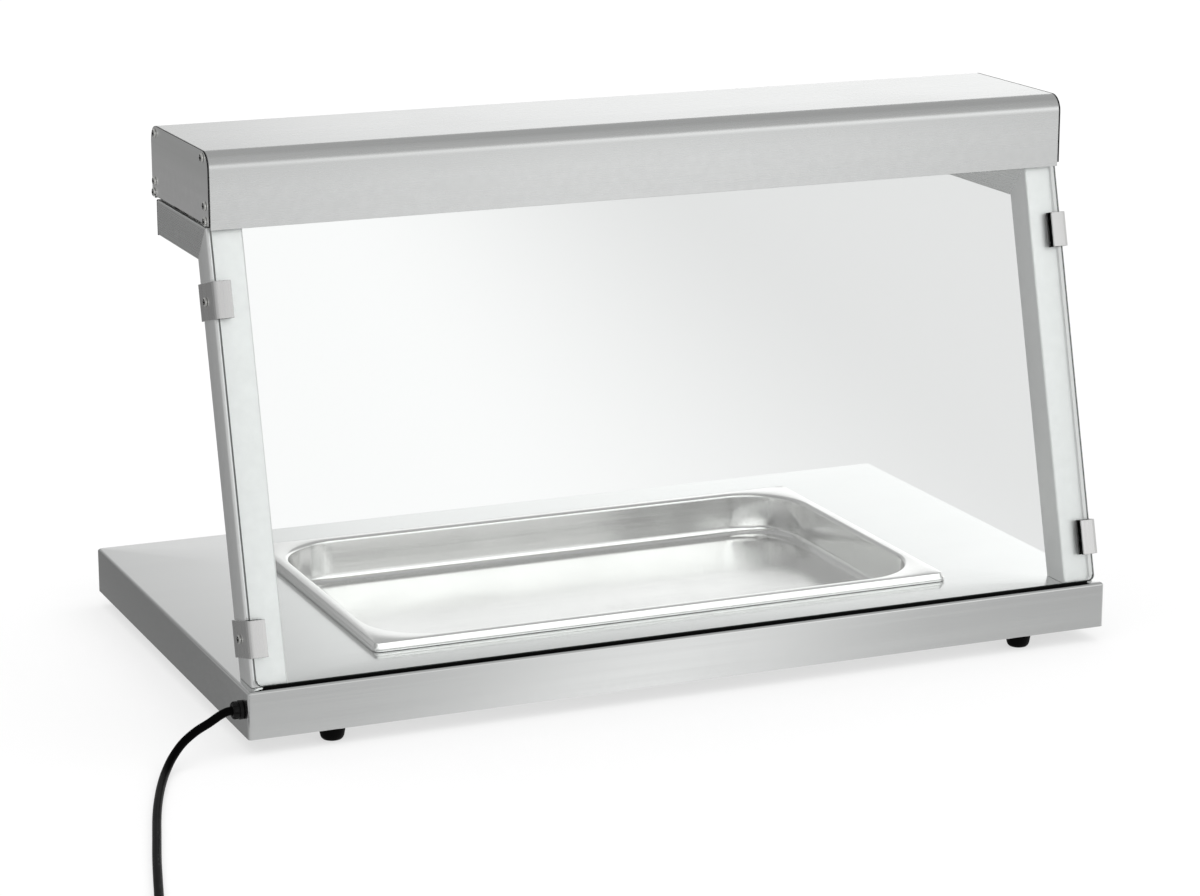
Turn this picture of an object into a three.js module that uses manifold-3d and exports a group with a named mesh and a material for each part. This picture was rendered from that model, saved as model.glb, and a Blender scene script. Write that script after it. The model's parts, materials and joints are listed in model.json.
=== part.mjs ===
// A hot food display case: a flat stainless base with a cut-out that holds a gastronorm pan, two
// leaning box-tube posts that carry a heat-lamp hood, and a glass screen clipped to the posts.
// Millimetres, +Z up. The origin is the centre of the footprint at the level of the feet's soles,
// +X to the right, and the glass faces -Y. The operator stands at +Y.
import * as THREE from "three";
import { mergeVertices } from "three/addons/utils/BufferGeometryUtils.js";
import Module from "manifold-3d";

const wasm = await Module();
wasm.setup();

// ---------------------------------------------------------------- driving dimensions
const gap = 0.3; // air between neighbours that touch
const base = { width: 780, depth: 450, height: 40, sheet: 1.2, bend: 2.5, plate: 1.2 };
const foot = { radius: 11, soleRadius: 7, height: 13.2, insetX: 75, insetY: 17 };
const postPlate = { thickness: 3, bossReach: 24, sideMargin: 2, frontMargin: 4, rearMargin: 14 };
const terminal = { length: 40, depth: 18, height: 14, fromSide: 56, fromFront: 60, wayRadius: 3 };
const pan = {
  width: 530, depth: 325, height: 40, wall: 0.9, rim: 7, rimRadius: 8, flange: 13.5,
  cornerRadius: 57, offsetY: -5, clearance: 3,
};
const tube = { size: 30, wall: 1.5, leanDegrees: 14.5 };
const frame = { sideInset: 6, footSetback: 9.5, armBottom: 324, armInset: 12.9 };
const glass = { thickness: 6, standoff: 2, edgeInset: 2.5, corner: 4, sill: 1.2, tuck: 4 };
const clip = { height: 30, lip: 15, sheet: 1.5, bend: 4, frontPad: 2.5, low: 24, high: 293 };
const screw = { headRadius: 3.7, headHeight: 2.4, shankRadius: 1.9, length: 8, clearance: 0.4 };
const hood = {
  depth: 159, height: 61.8, bend: 14, sheet: 1.2, flange: 18, lipClearance: 0.6, endLift: 3.5, lip: 0.5,
  controlLift: 2,
};
const trough = { sheet: 1, mouth: 78, top: 50, height: 39, fromFront: 27 };
const lamp = { radius: 5, length: 240, capRadius: 4.2, capLength: 7, drop: 17 };
const holder = { width: 16, depth: 20, height: 28, boreClearance: 0.4 };
const guard = { wire: 1.5, pitch: 40, overhang: 4 };
const knob = {
  radius: 15, height: 16, skirtRadius: 17, spindle: 3, boreDepth: 14, fromEnd: 74, box: 28, boxDepth: 24,
};
const rocker = {
  bezelWidth: 22, bezelHeight: 31, bezel: 2, width: 14.4, height: 21, tilt: 8, fromEnd: 129,
};
const rockerSwitch = { housingDepth: 20, housingInset: 2, recess: 6.5, clearance: 0.5 };
const lead = { radius: 3, hole: 6, backFromArmEnd: 60 };
const gland = { radius: 7.8, reach: 9, inside: 13, boreClearance: 0.3, setback: 15.5, drop: 18.5 };
const cord = { radius: 3.5, pitch: 7.2, coilRadius: 40.3, sides: 10, steps: 60 };
const plug = {
  radius: 19, body: 36, tail: 34, tailRadius: 5.2, pinRadius: 2.4, pinLength: 19, pinHalf: 9.5, stub: 30,
};

// ---------------------------------------------------------------- levels and places that follow
const lean = THREE.MathUtils.degToRad(tube.leanDegrees);
const tan = Math.tan(lean);
const cos = Math.cos(lean);
const baseFront = -base.depth / 2;
const skirtBottom = foot.height;
const baseTop = skirtBottom + base.height;
const frameHalf = base.width / 2 - frame.sideInset;
const postCentreX = frameHalf - tube.size / 2;
const armBottom = baseTop + frame.armBottom;
const armTop = armBottom + tube.size;
const postFront = (z) => baseFront + frame.footSetback + tan * (z - baseTop);
const glassBuild = glass.standoff + glass.thickness;
const hoodBottom = armTop - hood.lip;
const hoodTop = hoodBottom + hood.height;
const hoodFront = postFront(hoodBottom) - glassBuild / cos - hood.lipClearance - hood.sheet;
const hoodBack = hoodFront + hood.depth;
const armBack = hoodBack - frame.armInset;
const leadY = armBack - lead.backFromArmEnd;
const controlZ = hoodBottom + hood.height / 2 + hood.controlLift;
const knobX = frameHalf - knob.fromEnd;
const rockerX = frameHalf - rocker.fromEnd;
const coverHalf = frameHalf - hood.sheet - gap;
const trayBottom = armTop + gap;
const trayFront = postFront(trayBottom) + 3;
const troughFront = hoodFront + trough.fromFront;
const troughMid = troughFront + trough.mouth / 2;
const troughTop = trayBottom + trough.height;
const lampZ = troughTop - lamp.drop;
const panTop = baseTop + gap + pan.rim;
const panBottom = panTop - pan.height;
const wellWidth = pan.width - 2 * pan.flange;
const wellDepth = pan.depth - 2 * pan.flange;
const plateTop = skirtBottom + gap + base.plate;

// ---------------------------------------------------------------- materials
const finish = (color, roughness, metalness) =>
  new THREE.MeshStandardMaterial({ color, roughness, metalness });
const steel = finish(0xc2c4c3, 0.34, 1);
const brightSteel = finish(0xd6d7d6, 0.2, 1);
const innerSteel = finish(0xa9abaa, 0.45, 1);
const polished = finish(0xe2e3e2, 0.1, 1);
const wireSteel = finish(0xb8b9b8, 0.3, 1);
const clear = finish(0xe9f0ee, 0.03, 0);
const rubber = finish(0x141414, 0.75, 0);
const blackPlastic = finish(0x1a1a1b, 0.45, 0);
const redPlastic = finish(0xa51b16, 0.3, 0);
const whitePlastic = finish(0xe4e2dc, 0.5, 0);
const ceramic = finish(0xece7da, 0.6, 0);
const quartz = finish(0xf1dcc8, 0.1, 0);
const cordJacket = finish(0x121212, 0.35, 0);

// ---------------------------------------------------------------- solids
const X = new THREE.Vector3(1, 0, 0);
const Y = new THREE.Vector3(0, 1, 0);
const Z = new THREE.Vector3(0, 0, 1);
const back = new THREE.Vector3(0, -1, 0);

function solid(geometry) {
  const bare = geometry.index ? geometry.toNonIndexed() : geometry.clone();
  for (const name of Object.keys(bare.attributes)) {
    if (name !== "position") bare.deleteAttribute(name);
  }
  const merged = mergeVertices(bare, 1e-4);
  const vertProperties = merged.attributes.position.array;
  const triVerts = new Uint32Array(merged.index.array);
  return new wasm.Manifold(new wasm.Mesh({ numProp: 3, vertProperties, triVerts }));
}

const join = (first, ...others) => others.reduce((whole, other) => whole.add(other), first);
const cut = (first, ...others) => others.reduce((whole, other) => whole.subtract(other), first);

function geometryOf(manifold) {
  const made = manifold.getMesh();
  const geometry = new THREE.BufferGeometry();
  geometry.setAttribute("position", new THREE.BufferAttribute(made.vertProperties, made.numProp));
  geometry.setIndex(new THREE.BufferAttribute(made.triVerts, 1));
  return geometry;
}

function block(x0, x1, y0, y1, z0, z1) {
  const box = new THREE.BoxGeometry(x1 - x0, y1 - y0, z1 - z0);
  return solid(box.translate((x0 + x1) / 2, (y0 + y1) / 2, (z0 + z1) / 2));
}

function extruded(shape, depth, xAxis, yAxis, zAxis, start) {
  const settings = { depth, bevelEnabled: false, curveSegments: 5 };
  const geometry = new THREE.ExtrudeGeometry(shape, settings);
  geometry.applyMatrix4(new THREE.Matrix4().makeBasis(xAxis, yAxis, zAxis));
  return solid(geometry.translate(...start));
}

// A profile drawn in (y, z) and carried along +X from x0 to x1.
const alongX = (shape, x0, x1) => extruded(shape, x1 - x0, Y, Z, X, [x0, 0, 0]);
// A plan drawn in (x, y) and raised from z0 to z1.
const upright = (shape, z0, z1) => extruded(shape, z1 - z0, X, Y, Z, [0, 0, z0]);

const polygon = (points) => new THREE.Shape(points.map(([u, v]) => new THREE.Vector2(u, v)));

function roundedRectangle(width, depth, radius, centreY = 0) {
  const shape = new THREE.Shape();
  const w = width / 2 - radius;
  const d = depth / 2 - radius;
  shape.absarc(w, centreY + d, radius, 0, Math.PI / 2);
  shape.absarc(-w, centreY + d, radius, Math.PI / 2, Math.PI);
  shape.absarc(-w, centreY - d, radius, Math.PI, Math.PI * 1.5);
  shape.absarc(w, centreY - d, radius, Math.PI * 1.5, Math.PI * 2);
  return shape;
}

// A round bar or bore between two points.
function rod(from, to, radius, sides = 16) {
  const start = new THREE.Vector3(...from);
  const reach = new THREE.Vector3(...to).sub(start);
  const cylinder = new THREE.CylinderGeometry(radius, radius, reach.length(), sides);
  cylinder.translate(0, reach.length() / 2, 0);
  const turn = new THREE.Quaternion().setFromUnitVectors(Y, reach.clone().normalize());
  cylinder.applyMatrix4(new THREE.Matrix4().compose(start, turn, new THREE.Vector3(1, 1, 1)));
  return solid(cylinder);
}

// A turned piece: its profile is [radius, distance] along the given axis, from a point.
function turned(profile, axis, origin, sides = 20) {
  const points = profile.map(([r, h]) => new THREE.Vector2(r, h));
  const lathe = new THREE.LatheGeometry(points, sides);
  const turn = new THREE.Quaternion().setFromUnitVectors(Y, axis);
  const place = new THREE.Vector3(...origin);
  lathe.applyMatrix4(new THREE.Matrix4().compose(place, turn, new THREE.Vector3(1, 1, 1)));
  return solid(lathe);
}

// A folded sheet: a line of points thickened to its right-hand side, with mitred folds.
function foldedSheet(points, thickness) {
  const normals = points.slice(1).map(([u, v], i) => {
    const along = new THREE.Vector2(u - points[i][0], v - points[i][1]).normalize();
    return new THREE.Vector2(along.y, -along.x);
  });
  const inner = points.map(([u, v], i) => {
    const before = normals[Math.max(i - 1, 0)];
    const after = normals[Math.min(i, normals.length - 1)];
    const middle = before.clone().add(after).normalize();
    const reach = thickness / middle.dot(before);
    return [u + middle.x * reach, v + middle.y * reach];
  });
  return polygon([...points, ...inner.reverse()]);
}

function arcPoints(centreU, centreV, radius, fromDegrees, toDegrees, steps) {
  return Array.from({ length: steps + 1 }, (_, i) => {
    const angle = THREE.MathUtils.degToRad(fromDegrees + ((toDegrees - fromDegrees) * i) / steps);
    return [centreU + radius * Math.cos(angle), centreV + radius * Math.sin(angle)];
  });
}

const object = new THREE.Group();

function add(name, shape, material, parent = object) {
  const mesh = new THREE.Mesh(shape.isBufferGeometry ? shape : geometryOf(shape), material);
  mesh.name = name;
  parent.add(mesh);
  return mesh;
}

const sides = [
  ["left", -1],
  ["right", 1],
];

// ---------------------------------------------------------------- base
// A part of a leaning post: a prism between two depths behind the post's front and two levels.
function leaningPrism(x0, x1, depth0, depth1, z0, z1) {
  const profile = polygon([
    [postFront(z0) + depth0 / cos, z0],
    [postFront(z0) + depth1 / cos, z0],
    [postFront(z1) + depth1 / cos, z1],
    [postFront(z1) + depth0 / cos, z1],
  ]);
  return alongX(profile, x0, x1);
}

// The middle of a post's tube at a level.
const postAxis = (x, z) => [x, postFront(z) + tube.size / 2 / cos, z];
const tubeInside = [tube.wall, tube.size - tube.wall];
const insideHalf = tube.size / 2 - tube.wall;

function makeBaseShell() {
  const outer = upright(roundedRectangle(base.width, base.depth, base.bend), skirtBottom, baseTop);
  const hollowWidth = base.width - 2 * base.sheet;
  const hollowDepth = base.depth - 2 * base.sheet;
  const hollowPlan = roundedRectangle(hollowWidth, hollowDepth, base.bend - base.sheet);
  const hollow = upright(hollowPlan, skirtBottom - 1, baseTop - base.sheet);
  const openWidth = wellWidth + 2 * pan.clearance;
  const openDepth = wellDepth + 2 * pan.clearance;
  const openRadius = pan.cornerRadius + pan.clearance;
  const openPlan = roundedRectangle(openWidth, openDepth, openRadius, pan.offsetY);
  const opening = upright(openPlan, baseTop - base.sheet - 1, baseTop + 1);
  const postHoles = sides.map(([, side]) => {
    const x = side * postCentreX;
    const z0 = baseTop - base.sheet - 1;
    return leaningPrism(x - insideHalf, x + insideHalf, ...tubeInside, z0, baseTop + 1);
  });
  const glandY = baseFront + gland.setback;
  const glandZ = baseTop - gland.drop;
  const boreRadius = cord.radius + 2 + gland.boreClearance;
  const wallX = -base.width / 2;
  const glandHole = rod([wallX - 1, glandY, glandZ], [wallX + 5, glandY, glandZ], boreRadius);
  return cut(outer, hollow, opening, ...postHoles, glandHole);
}

function makeBottomPlate() {
  const width = base.width - 2 * base.sheet - 2 * gap;
  const depth = base.depth - 2 * base.sheet - 2 * gap;
  return upright(roundedRectangle(width, depth, base.bend - base.sheet), skirtBottom + gap, plateTop);
}

function makeFoot(x, y) {
  const profile = [
    [0, 0],
    [foot.soleRadius, 0],
    [foot.soleRadius + 1.4, 0.8],
    [foot.radius - 1, 2.6],
    [foot.radius, foot.height - 4],
    [foot.radius, foot.height],
    [0, foot.height],
  ];
  return turned(profile, Y, [0, 0, 0]).rotate([90, 0, 0]).translate([x, y, 0]);
}

// The plate inside the base that a post is bolted to, with a boss that stands in the tube.
function makePostPlate(side) {
  const x = side * postCentreX;
  const top = baseTop - base.sheet - gap;
  const half = tube.size / 2 + postPlate.sideMargin;
  const plateFront = postFront(top) - postPlate.frontMargin;
  const plateBack = postFront(top) + tube.size / cos + postPlate.rearMargin;
  const flat = block(x - half, x + half, plateFront, plateBack, top - postPlate.thickness, top);
  const bossHalf = insideHalf - gap;
  const bossDepths = [tubeInside[0] + gap, tubeInside[1] - gap];
  const bossTop = baseTop + postPlate.bossReach;
  const boss = leaningPrism(x - bossHalf, x + bossHalf, ...bossDepths, top - 1, bossTop);
  const leadHole = rod(postAxis(x, top - 10), postAxis(x, bossTop + 5), lead.hole);
  return cut(join(flat, boss), leadHole);
}

function makeTerminalBlock() {
  const x = -base.width / 2 + terminal.fromSide;
  const y = baseFront + terminal.fromFront;
  const z = plateTop + gap;
  const middle = y + terminal.depth / 2;
  const top = z + terminal.height;
  const body = block(x, x + terminal.length, y, y + terminal.depth, z, top);
  const ways = [0.2, 0.5, 0.8].map((share) => {
    const wayX = x + terminal.length * share;
    return rod([wayX, middle, z + 5], [wayX, middle, top + 1], terminal.wayRadius, 12);
  });
  return cut(body, ...ways);
}

add("base_shell", makeBaseShell(), steel);
add("base_bottom_plate", makeBottomPlate(), innerSteel);
for (const [row, sideY] of [["front", -1], ["rear", 1]]) {
  for (const [hand, sideX] of sides) {
    const x = sideX * (base.width / 2 - foot.insetX);
    const y = sideY * (base.depth / 2 - foot.insetY);
    add(`foot_${row}_${hand}`, makeFoot(x, y), rubber);
  }
}
for (const [hand, side] of sides) add(`post_plate_${hand}`, makePostPlate(side), innerSteel);
add("terminal_block", makeTerminalBlock(), whitePlastic);

// ---------------------------------------------------------------- food pan
function makePan() {
  const plan = (width, depth, radius) => roundedRectangle(width, depth, radius, pan.offsetY);
  const seat = panTop - pan.rim;
  const rim = upright(plan(pan.width, pan.depth, pan.rimRadius), seat, panTop);
  const rimWall = 2 * 1.4;
  const hollow = plan(pan.width - rimWall, pan.depth - rimWall, pan.rimRadius - rimWall / 2);
  const underRim = upright(hollow, seat - 1, panTop - pan.wall);
  const well = upright(plan(wellWidth, wellDepth, pan.cornerRadius), panBottom, panTop);
  const wallTwice = 2 * pan.wall;
  const inside = plan(wellWidth - wallTwice, wellDepth - wallTwice, pan.cornerRadius - pan.wall);
  const food = upright(inside, panBottom + pan.wall, panTop + 1);
  return cut(join(cut(rim, underRim), well), food);
}
add("food_pan", makePan(), brightSteel);

// ---------------------------------------------------------------- posts and arms
const clipScrewLevels = [clip.low, clip.high].map((start) => start + clip.height / 2);
// The clips sit in the leaning frame, where a distance along the post is measured up its front.
const alongPost = (distance) => baseTop + distance * cos;
const screwDepth = (tube.size - glassBuild - clip.frontPad) / 2 + 2;
const screwY = (distance) => {
  const level = alongPost(distance);
  return [postFront(level) + screwDepth * cos, level - screwDepth * Math.sin(lean)];
};
const screwHole = screw.shankRadius + screw.clearance;

function makeTube(section, x, hollow) {
  return cut(alongX(section, x - tube.size / 2, x + tube.size / 2), hollow);
}

// The mitre runs from the outer corner down to the knee. Each half stops half a gap short of it.
const outerCorner = [postFront(armTop), armTop];
const knee = [postFront(armBottom) + tube.size / cos, armBottom];
const mitreShift = (gap / 2) * Math.SQRT2;

function makePost(side) {
  const x = side * postCentreX;
  const foot0 = baseTop + gap;
  const section = polygon([
    [postFront(foot0), foot0],
    [postFront(foot0) + tube.size / cos, foot0],
    [knee[0] - tan * mitreShift, knee[1] - mitreShift],
    [outerCorner[0] - tan * mitreShift, outerCorner[1] - mitreShift],
  ]);
  const inside = leaningPrism(x - insideHalf, x + insideHalf, ...tubeInside, foot0 - 5, armTop + 5);
  const outerFace = x + (side * tube.size) / 2;
  const innerFace = outerFace - side * (tube.wall + 1);
  const holes = clipScrewLevels.map((level) => {
    const [y, z] = screwY(level);
    return rod([outerFace + side, y, z], [innerFace, y, z], screwHole, 12);
  });
  return cut(makeTube(section, x, inside), ...holes);
}

function makeArm(side) {
  const x = side * postCentreX;
  const section = polygon([
    [outerCorner[0] + mitreShift, outerCorner[1]],
    [knee[0] + mitreShift, knee[1]],
    [armBack, armBottom],
    [armBack, armTop],
  ]);
  const reach = [outerCorner[0] - 5, armBack + 5];
  const levels = [armBottom + tube.wall, armTop - tube.wall];
  const inside = block(x - insideHalf, x + insideHalf, ...reach, ...levels);
  const leadHole = rod([x, leadY, armTop - 5], [x, leadY, armTop + 5], lead.hole, 12);
  return cut(makeTube(section, x, inside), leadHole);
}

function makeArmCap(side) {
  const x = side * postCentreX;
  const half = tube.size / 2;
  const bossHalf = insideHalf - gap;
  const start = armBack + gap;
  const face = block(x - half, x + half, start, start + 2, armBottom, armTop);
  const boss = block(
    x - bossHalf, x + bossHalf, armBack - 12, start + 1,
    armBottom + tube.wall + gap, armTop - tube.wall - gap,
  );
  return join(face, boss);
}

for (const [hand, side] of sides) {
  add(`post_${hand}`, makePost(side), steel);
  add(`arm_${hand}`, makeArm(side), steel);
  add(`arm_cap_${hand}`, makeArmCap(side), blackPlastic);
}

// ---------------------------------------------------------------- glass screen and its clips
// This group leans with the posts: x across, y up the posts' front face, z out of that face.
const screen = new THREE.Group();
screen.position.set(0, postFront(baseTop), baseTop);
screen.rotation.x = Math.PI / 2 - lean;
object.add(screen);

const glassHalf = frameHalf - glass.edgeInset;
const glassLow = (glass.sill - glass.standoff * Math.sin(lean)) / cos;
const glassHigh = (hoodBottom + glass.tuck - baseTop - glassBuild * Math.sin(lean)) / cos;
const glassMiddle = (glassHigh + glassLow) / 2;
const glassPlan = roundedRectangle(2 * glassHalf, glassHigh - glassLow, glass.corner, glassMiddle);
add("glass_pane", upright(glassPlan, glass.standoff, glassBuild), clear, screen);

const clipFront = glassBuild + clip.frontPad + clip.sheet;
const clipSide = frameHalf + gap + clip.sheet;

function makeClip(side, level) {
  const bend = arcPoints(clipSide - clip.bend, clipFront - clip.bend, clip.bend, 90, 0, 4);
  const outline = [[clipSide - clip.lip, clipFront], ...bend, [clipSide, -tube.size]];
  const profile = foldedSheet(outline, clip.sheet);
  const sheet = extruded(profile, clip.height, X, Z, back, [0, level + clip.height, 0]);
  const place = screwInScreen(level);
  const hole = rod([frameHalf - 5, ...place], [clipSide + 5, ...place], screwHole, 12);
  const made = cut(sheet, hole);
  return side < 0 ? made.mirror([1, 0, 0]) : made;
}

// Where a clip's screw goes through, as [y, z] in the screen's own directions.
const screwInScreen = (level) => [level + clip.height / 2, -screwDepth];

function makeClipPad(side, level) {
  const outer = clipSide - clip.sheet - gap;
  const lipEnd = clipSide - clip.lip;
  const profile = polygon([
    [lipEnd, glassBuild + gap],
    [glassHalf + gap, glassBuild + gap],
    [glassHalf + gap, glass.standoff - gap],
    [lipEnd, glass.standoff - gap],
    [lipEnd, gap],
    [outer, gap],
    [outer, glassBuild + clip.frontPad - gap - clip.bend / 2],
    [outer - clip.bend / 2, glassBuild + clip.frontPad - gap],
    [lipEnd, glassBuild + clip.frontPad - gap],
  ]);
  const made = extruded(profile, clip.height, X, Z, back, [0, level + clip.height, 0]);
  return side < 0 ? made.mirror([1, 0, 0]) : made;
}

// A pan-head screw: its shank runs inwards from the seat, and its domed head stands outside.
function makeScrew(seat, axis, sides = 12) {
  const { headRadius, headHeight, shankRadius, length } = screw;
  const profile = [
    [0, -length],
    [shankRadius, -length],
    [shankRadius, gap],
    [headRadius, gap],
    [headRadius, headHeight * 0.55],
    [headRadius * 0.78, headHeight * 0.9],
    [0, headHeight],
  ];
  return turned(profile, axis, seat, sides);
}

for (const [hand, side] of sides) {
  for (const [row, level] of [["lower", clip.low], ["upper", clip.high]]) {
    add(`clip_${row}_${hand}`, makeClip(side, level), brightSteel, screen);
    add(`clip_pad_${row}_${hand}`, makeClipPad(side, level), rubber, screen);
    const seat = [side * clipSide, ...screwInScreen(level)];
    const axis = new THREE.Vector3(side, 0, 0);
    add(`clip_screw_${row}_${hand}`, makeScrew(seat, axis), brightSteel, screen);
  }
}

// ---------------------------------------------------------------- hood
const hoodOutline = [
  [hoodFront, hoodBottom],
  ...arcPoints(hoodFront + hood.bend, hoodTop - hood.bend, hood.bend, 180, 90, 6),
  ...arcPoints(hoodBack - hood.bend, hoodTop - hood.bend, hood.bend, 90, 0, 6),
  [hoodBack, hoodBottom],
];
// The end screws' places, from the nearer upright face and from the top or bottom of the hood.
const endScrews = [
  ["front_top", hoodFront + 12.5, hoodTop - 5.4],
  ["front_middle", hoodFront + 8.5, hoodBottom + 18.5],
  ["front_low", hoodFront + 8.5, hoodBottom + 6],
  ["rear_top", hoodBack - 12.5, hoodTop - 6],
  ["rear_middle", hoodBack - 8.5, hoodBottom + 15.5],
  ["rear_low", hoodBack - 6.5, hoodBottom + 6],
];

function hoodEndBlank(x0, x1) {
  const low = hoodBottom + hood.endLift;
  return alongX(polygon([[hoodFront, low], ...hoodOutline.slice(1, -1), [hoodBack, low]]), x0, x1);
}

function endScrewHoles(x0, x1) {
  return endScrews.map(([, y, z]) => rod([x0, y, z], [x1, y, z], screwHole, 12));
}

function makeHoodCover() {
  const sheet = alongX(foldedSheet(hoodOutline, hood.sheet), -coverHalf, coverHalf);
  const window = [hoodFront + hood.flange, hoodBack - hood.flange, hoodBottom - 1, hoodTop - 12];
  const flanges = sides.map(([, side]) => {
    const x0 = side < 0 ? -coverHalf : coverHalf - hood.sheet;
    const x1 = x0 + hood.sheet;
    return cut(hoodEndBlank(x0, x1), block(x0 - 1, x1 + 1, ...window), ...endScrewHoles(x0 - 1, x1 + 1));
  });
  const wall = [hoodBack - hood.sheet - 1, hoodBack + 1];
  const spindleHole = rod([knobX, wall[0], controlZ], [knobX, wall[1], controlZ], knob.spindle + 1);
  const halfWidth = rocker.bezelWidth / 2 - rockerSwitch.housingInset + gap;
  const halfHeight = rocker.bezelHeight / 2 - rockerSwitch.housingInset + gap;
  const switchHole = block(
    rockerX - halfWidth, rockerX + halfWidth, ...wall,
    controlZ - halfHeight, controlZ + halfHeight,
  );
  return cut(join(sheet, ...flanges), spindleHole, switchHole);
}

function makeHoodEnd(side) {
  const x0 = side < 0 ? -frameHalf : frameHalf - hood.sheet;
  return cut(hoodEndBlank(x0, x0 + hood.sheet), ...endScrewHoles(x0 - 1, x0 + hood.sheet + 1));
}

// The underside of the hood: a polished tray with a trough that the lamps hang in.
function makeReflector() {
  const slope = (trough.mouth - trough.top) / 2;
  const line = [
    [trayFront, trayBottom],
    [troughFront, trayBottom],
    [troughFront + slope, troughTop],
    [troughFront + slope + trough.top, troughTop],
    [troughFront + trough.mouth, trayBottom],
    [hoodBack - hood.sheet - gap, trayBottom],
  ].reverse();
  const half = coverHalf - hood.sheet - gap;
  const sheet = alongX(foldedSheet(line, trough.sheet), -half, half);
  const x = -postCentreX;
  const leadHole = rod([x, leadY, trayBottom - 5], [x, leadY, trayBottom + 5], lead.hole, 12);
  return cut(sheet, leadHole);
}

const holderCentre = holder.width * 0.8;
const lampStart = holderCentre + gap * 2;
const lampEnd = lampStart + lamp.length;

function makeLamp(side) {
  const profile = [
    [0, -lamp.capLength],
    [lamp.capRadius, -lamp.capLength],
    [lamp.capRadius, 0],
    [lamp.radius, 0],
    [lamp.radius, lamp.length],
    [lamp.capRadius, lamp.length],
    [lamp.capRadius, lamp.length + lamp.capLength],
    [0, lamp.length + lamp.capLength],
  ];
  const axis = new THREE.Vector3(side, 0, 0);
  return turned(profile, axis, [side * lampStart, troughMid, lampZ], 16);
}

function makeLampHolder(x0, x1) {
  const top = troughTop - trough.sheet - gap;
  const low = Math.min(top - holder.height, lampZ - lamp.radius - 4);
  const body = block(x0, x1, troughMid - holder.depth / 2, troughMid + holder.depth / 2, low, top);
  const boreRadius = lamp.capRadius + holder.boreClearance;
  const bore = rod([x0 - 1, troughMid, lampZ], [x1 + 1, troughMid, lampZ], boreRadius);
  return cut(body, bore);
}

function makeGuard() {
  const z = trayBottom - gap - guard.wire;
  const halfX = lampEnd + holder.width + guard.pitch / 2;
  const rails = [troughFront - guard.overhang, troughFront + trough.mouth + guard.overhang];
  const railBars = rails.map((y) => rod([-halfX, y, z], [halfX, y, z], guard.wire, 6));
  const count = 2 * Math.floor((halfX - guard.wire) / guard.pitch) + 1;
  const cross = Array.from({ length: count }, (_, i) => {
    const x = (i - (count - 1) / 2) * guard.pitch;
    return rod([x, rails[0], z], [x, rails[1], z], guard.wire, 6);
  });
  return join(...railBars, ...cross);
}

add("hood_cover", makeHoodCover(), steel);
for (const [hand, side] of sides) {
  add(`hood_end_${hand}`, makeHoodEnd(side), steel);
  for (const [place, y, z] of endScrews) {
    const axis = new THREE.Vector3(side, 0, 0);
    add(`end_screw_${place}_${hand}`, makeScrew([side * frameHalf, y, z], axis), brightSteel);
  }
  add(`heat_lamp_${hand}`, makeLamp(side), quartz);
  const span = [lampEnd + gap * 2, lampEnd + gap * 2 + holder.width].map((x) => side * x);
  add(`lamp_holder_${hand}`, makeLampHolder(Math.min(...span), Math.max(...span)), ceramic);
}
add("hood_reflector", makeReflector(), polished);
add("lamp_holder_middle", makeLampHolder(-holderCentre, holderCentre), ceramic);
add("lamp_guard", makeGuard(), wireSteel);

// ---------------------------------------------------------------- controls on the hood's rear
const wallInside = hoodBack - hood.sheet - gap;

function makeRegulatorBody() {
  const half = knob.box / 2;
  const front = wallInside - knob.boxDepth;
  const body = block(knobX - half, knobX + half, front, wallInside, controlZ - half, controlZ + half);
  const boreStart = [knobX, wallInside - knob.boreDepth, controlZ];
  const bore = rod(boreStart, [knobX, wallInside + 1, controlZ], knob.spindle + gap);
  return cut(body, bore);
}

function makeKnob() {
  const start = hoodBack + 2 * gap;
  const spindleEnd = wallInside - knob.boreDepth + 2 - start;
  const profile = [
    [0, spindleEnd],
    [knob.spindle, spindleEnd],
    [knob.spindle, 0],
    [knob.skirtRadius, 0],
    [knob.skirtRadius, 2.5],
    [knob.radius, 4],
    [knob.radius - 1, knob.height - 1.5],
    [knob.radius - 2.5, knob.height],
    [0, knob.height],
  ];
  const body = turned(profile, Y, [knobX, start, controlZ], 28);
  const pointer = block(
    knobX - 1, knobX + 1, start + knob.height - 1, start + knob.height + 0.8,
    controlZ + 4, controlZ + knob.radius - 3,
  );
  return join(body, pointer);
}

function makeSwitchBody() {
  const halfWidth = rocker.bezelWidth / 2;
  const halfHeight = rocker.bezelHeight / 2;
  const inset = rockerSwitch.housingInset;
  const bezel = block(
    rockerX - halfWidth, rockerX + halfWidth, hoodBack + gap, hoodBack + gap + rocker.bezel,
    controlZ - halfHeight, controlZ + halfHeight,
  );
  const housing = block(
    rockerX - halfWidth + inset, rockerX + halfWidth - inset,
    hoodBack - rockerSwitch.housingDepth, hoodBack + gap + 1,
    controlZ - halfHeight + inset, controlZ + halfHeight - inset,
  );
  const recessHalf = rocker.width / 2 + rockerSwitch.clearance;
  const recessTall = rocker.height / 2 + 2 * rockerSwitch.clearance;
  const recess = block(
    rockerX - recessHalf, rockerX + recessHalf,
    hoodBack - rockerSwitch.recess, hoodBack + gap + rocker.bezel + 1,
    controlZ - recessTall, controlZ + recessTall,
  );
  return cut(join(bezel, housing), recess);
}

// The rocker is drawn level and turned to "off", with its top edge standing out.
function makeRocker() {
  const tip = rocker.height / 2;
  const profile = polygon([
    [-4, -tip + 2.5],
    [4.4, -tip],
    [2.6, 0],
    [4.4, tip],
    [-4, tip - 2.5],
  ]);
  const level = alongX(profile, -rocker.width / 2, rocker.width / 2);
  return level.rotate([-rocker.tilt, 0, 0]).translate([rockerX, hoodBack, controlZ]);
}

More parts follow.
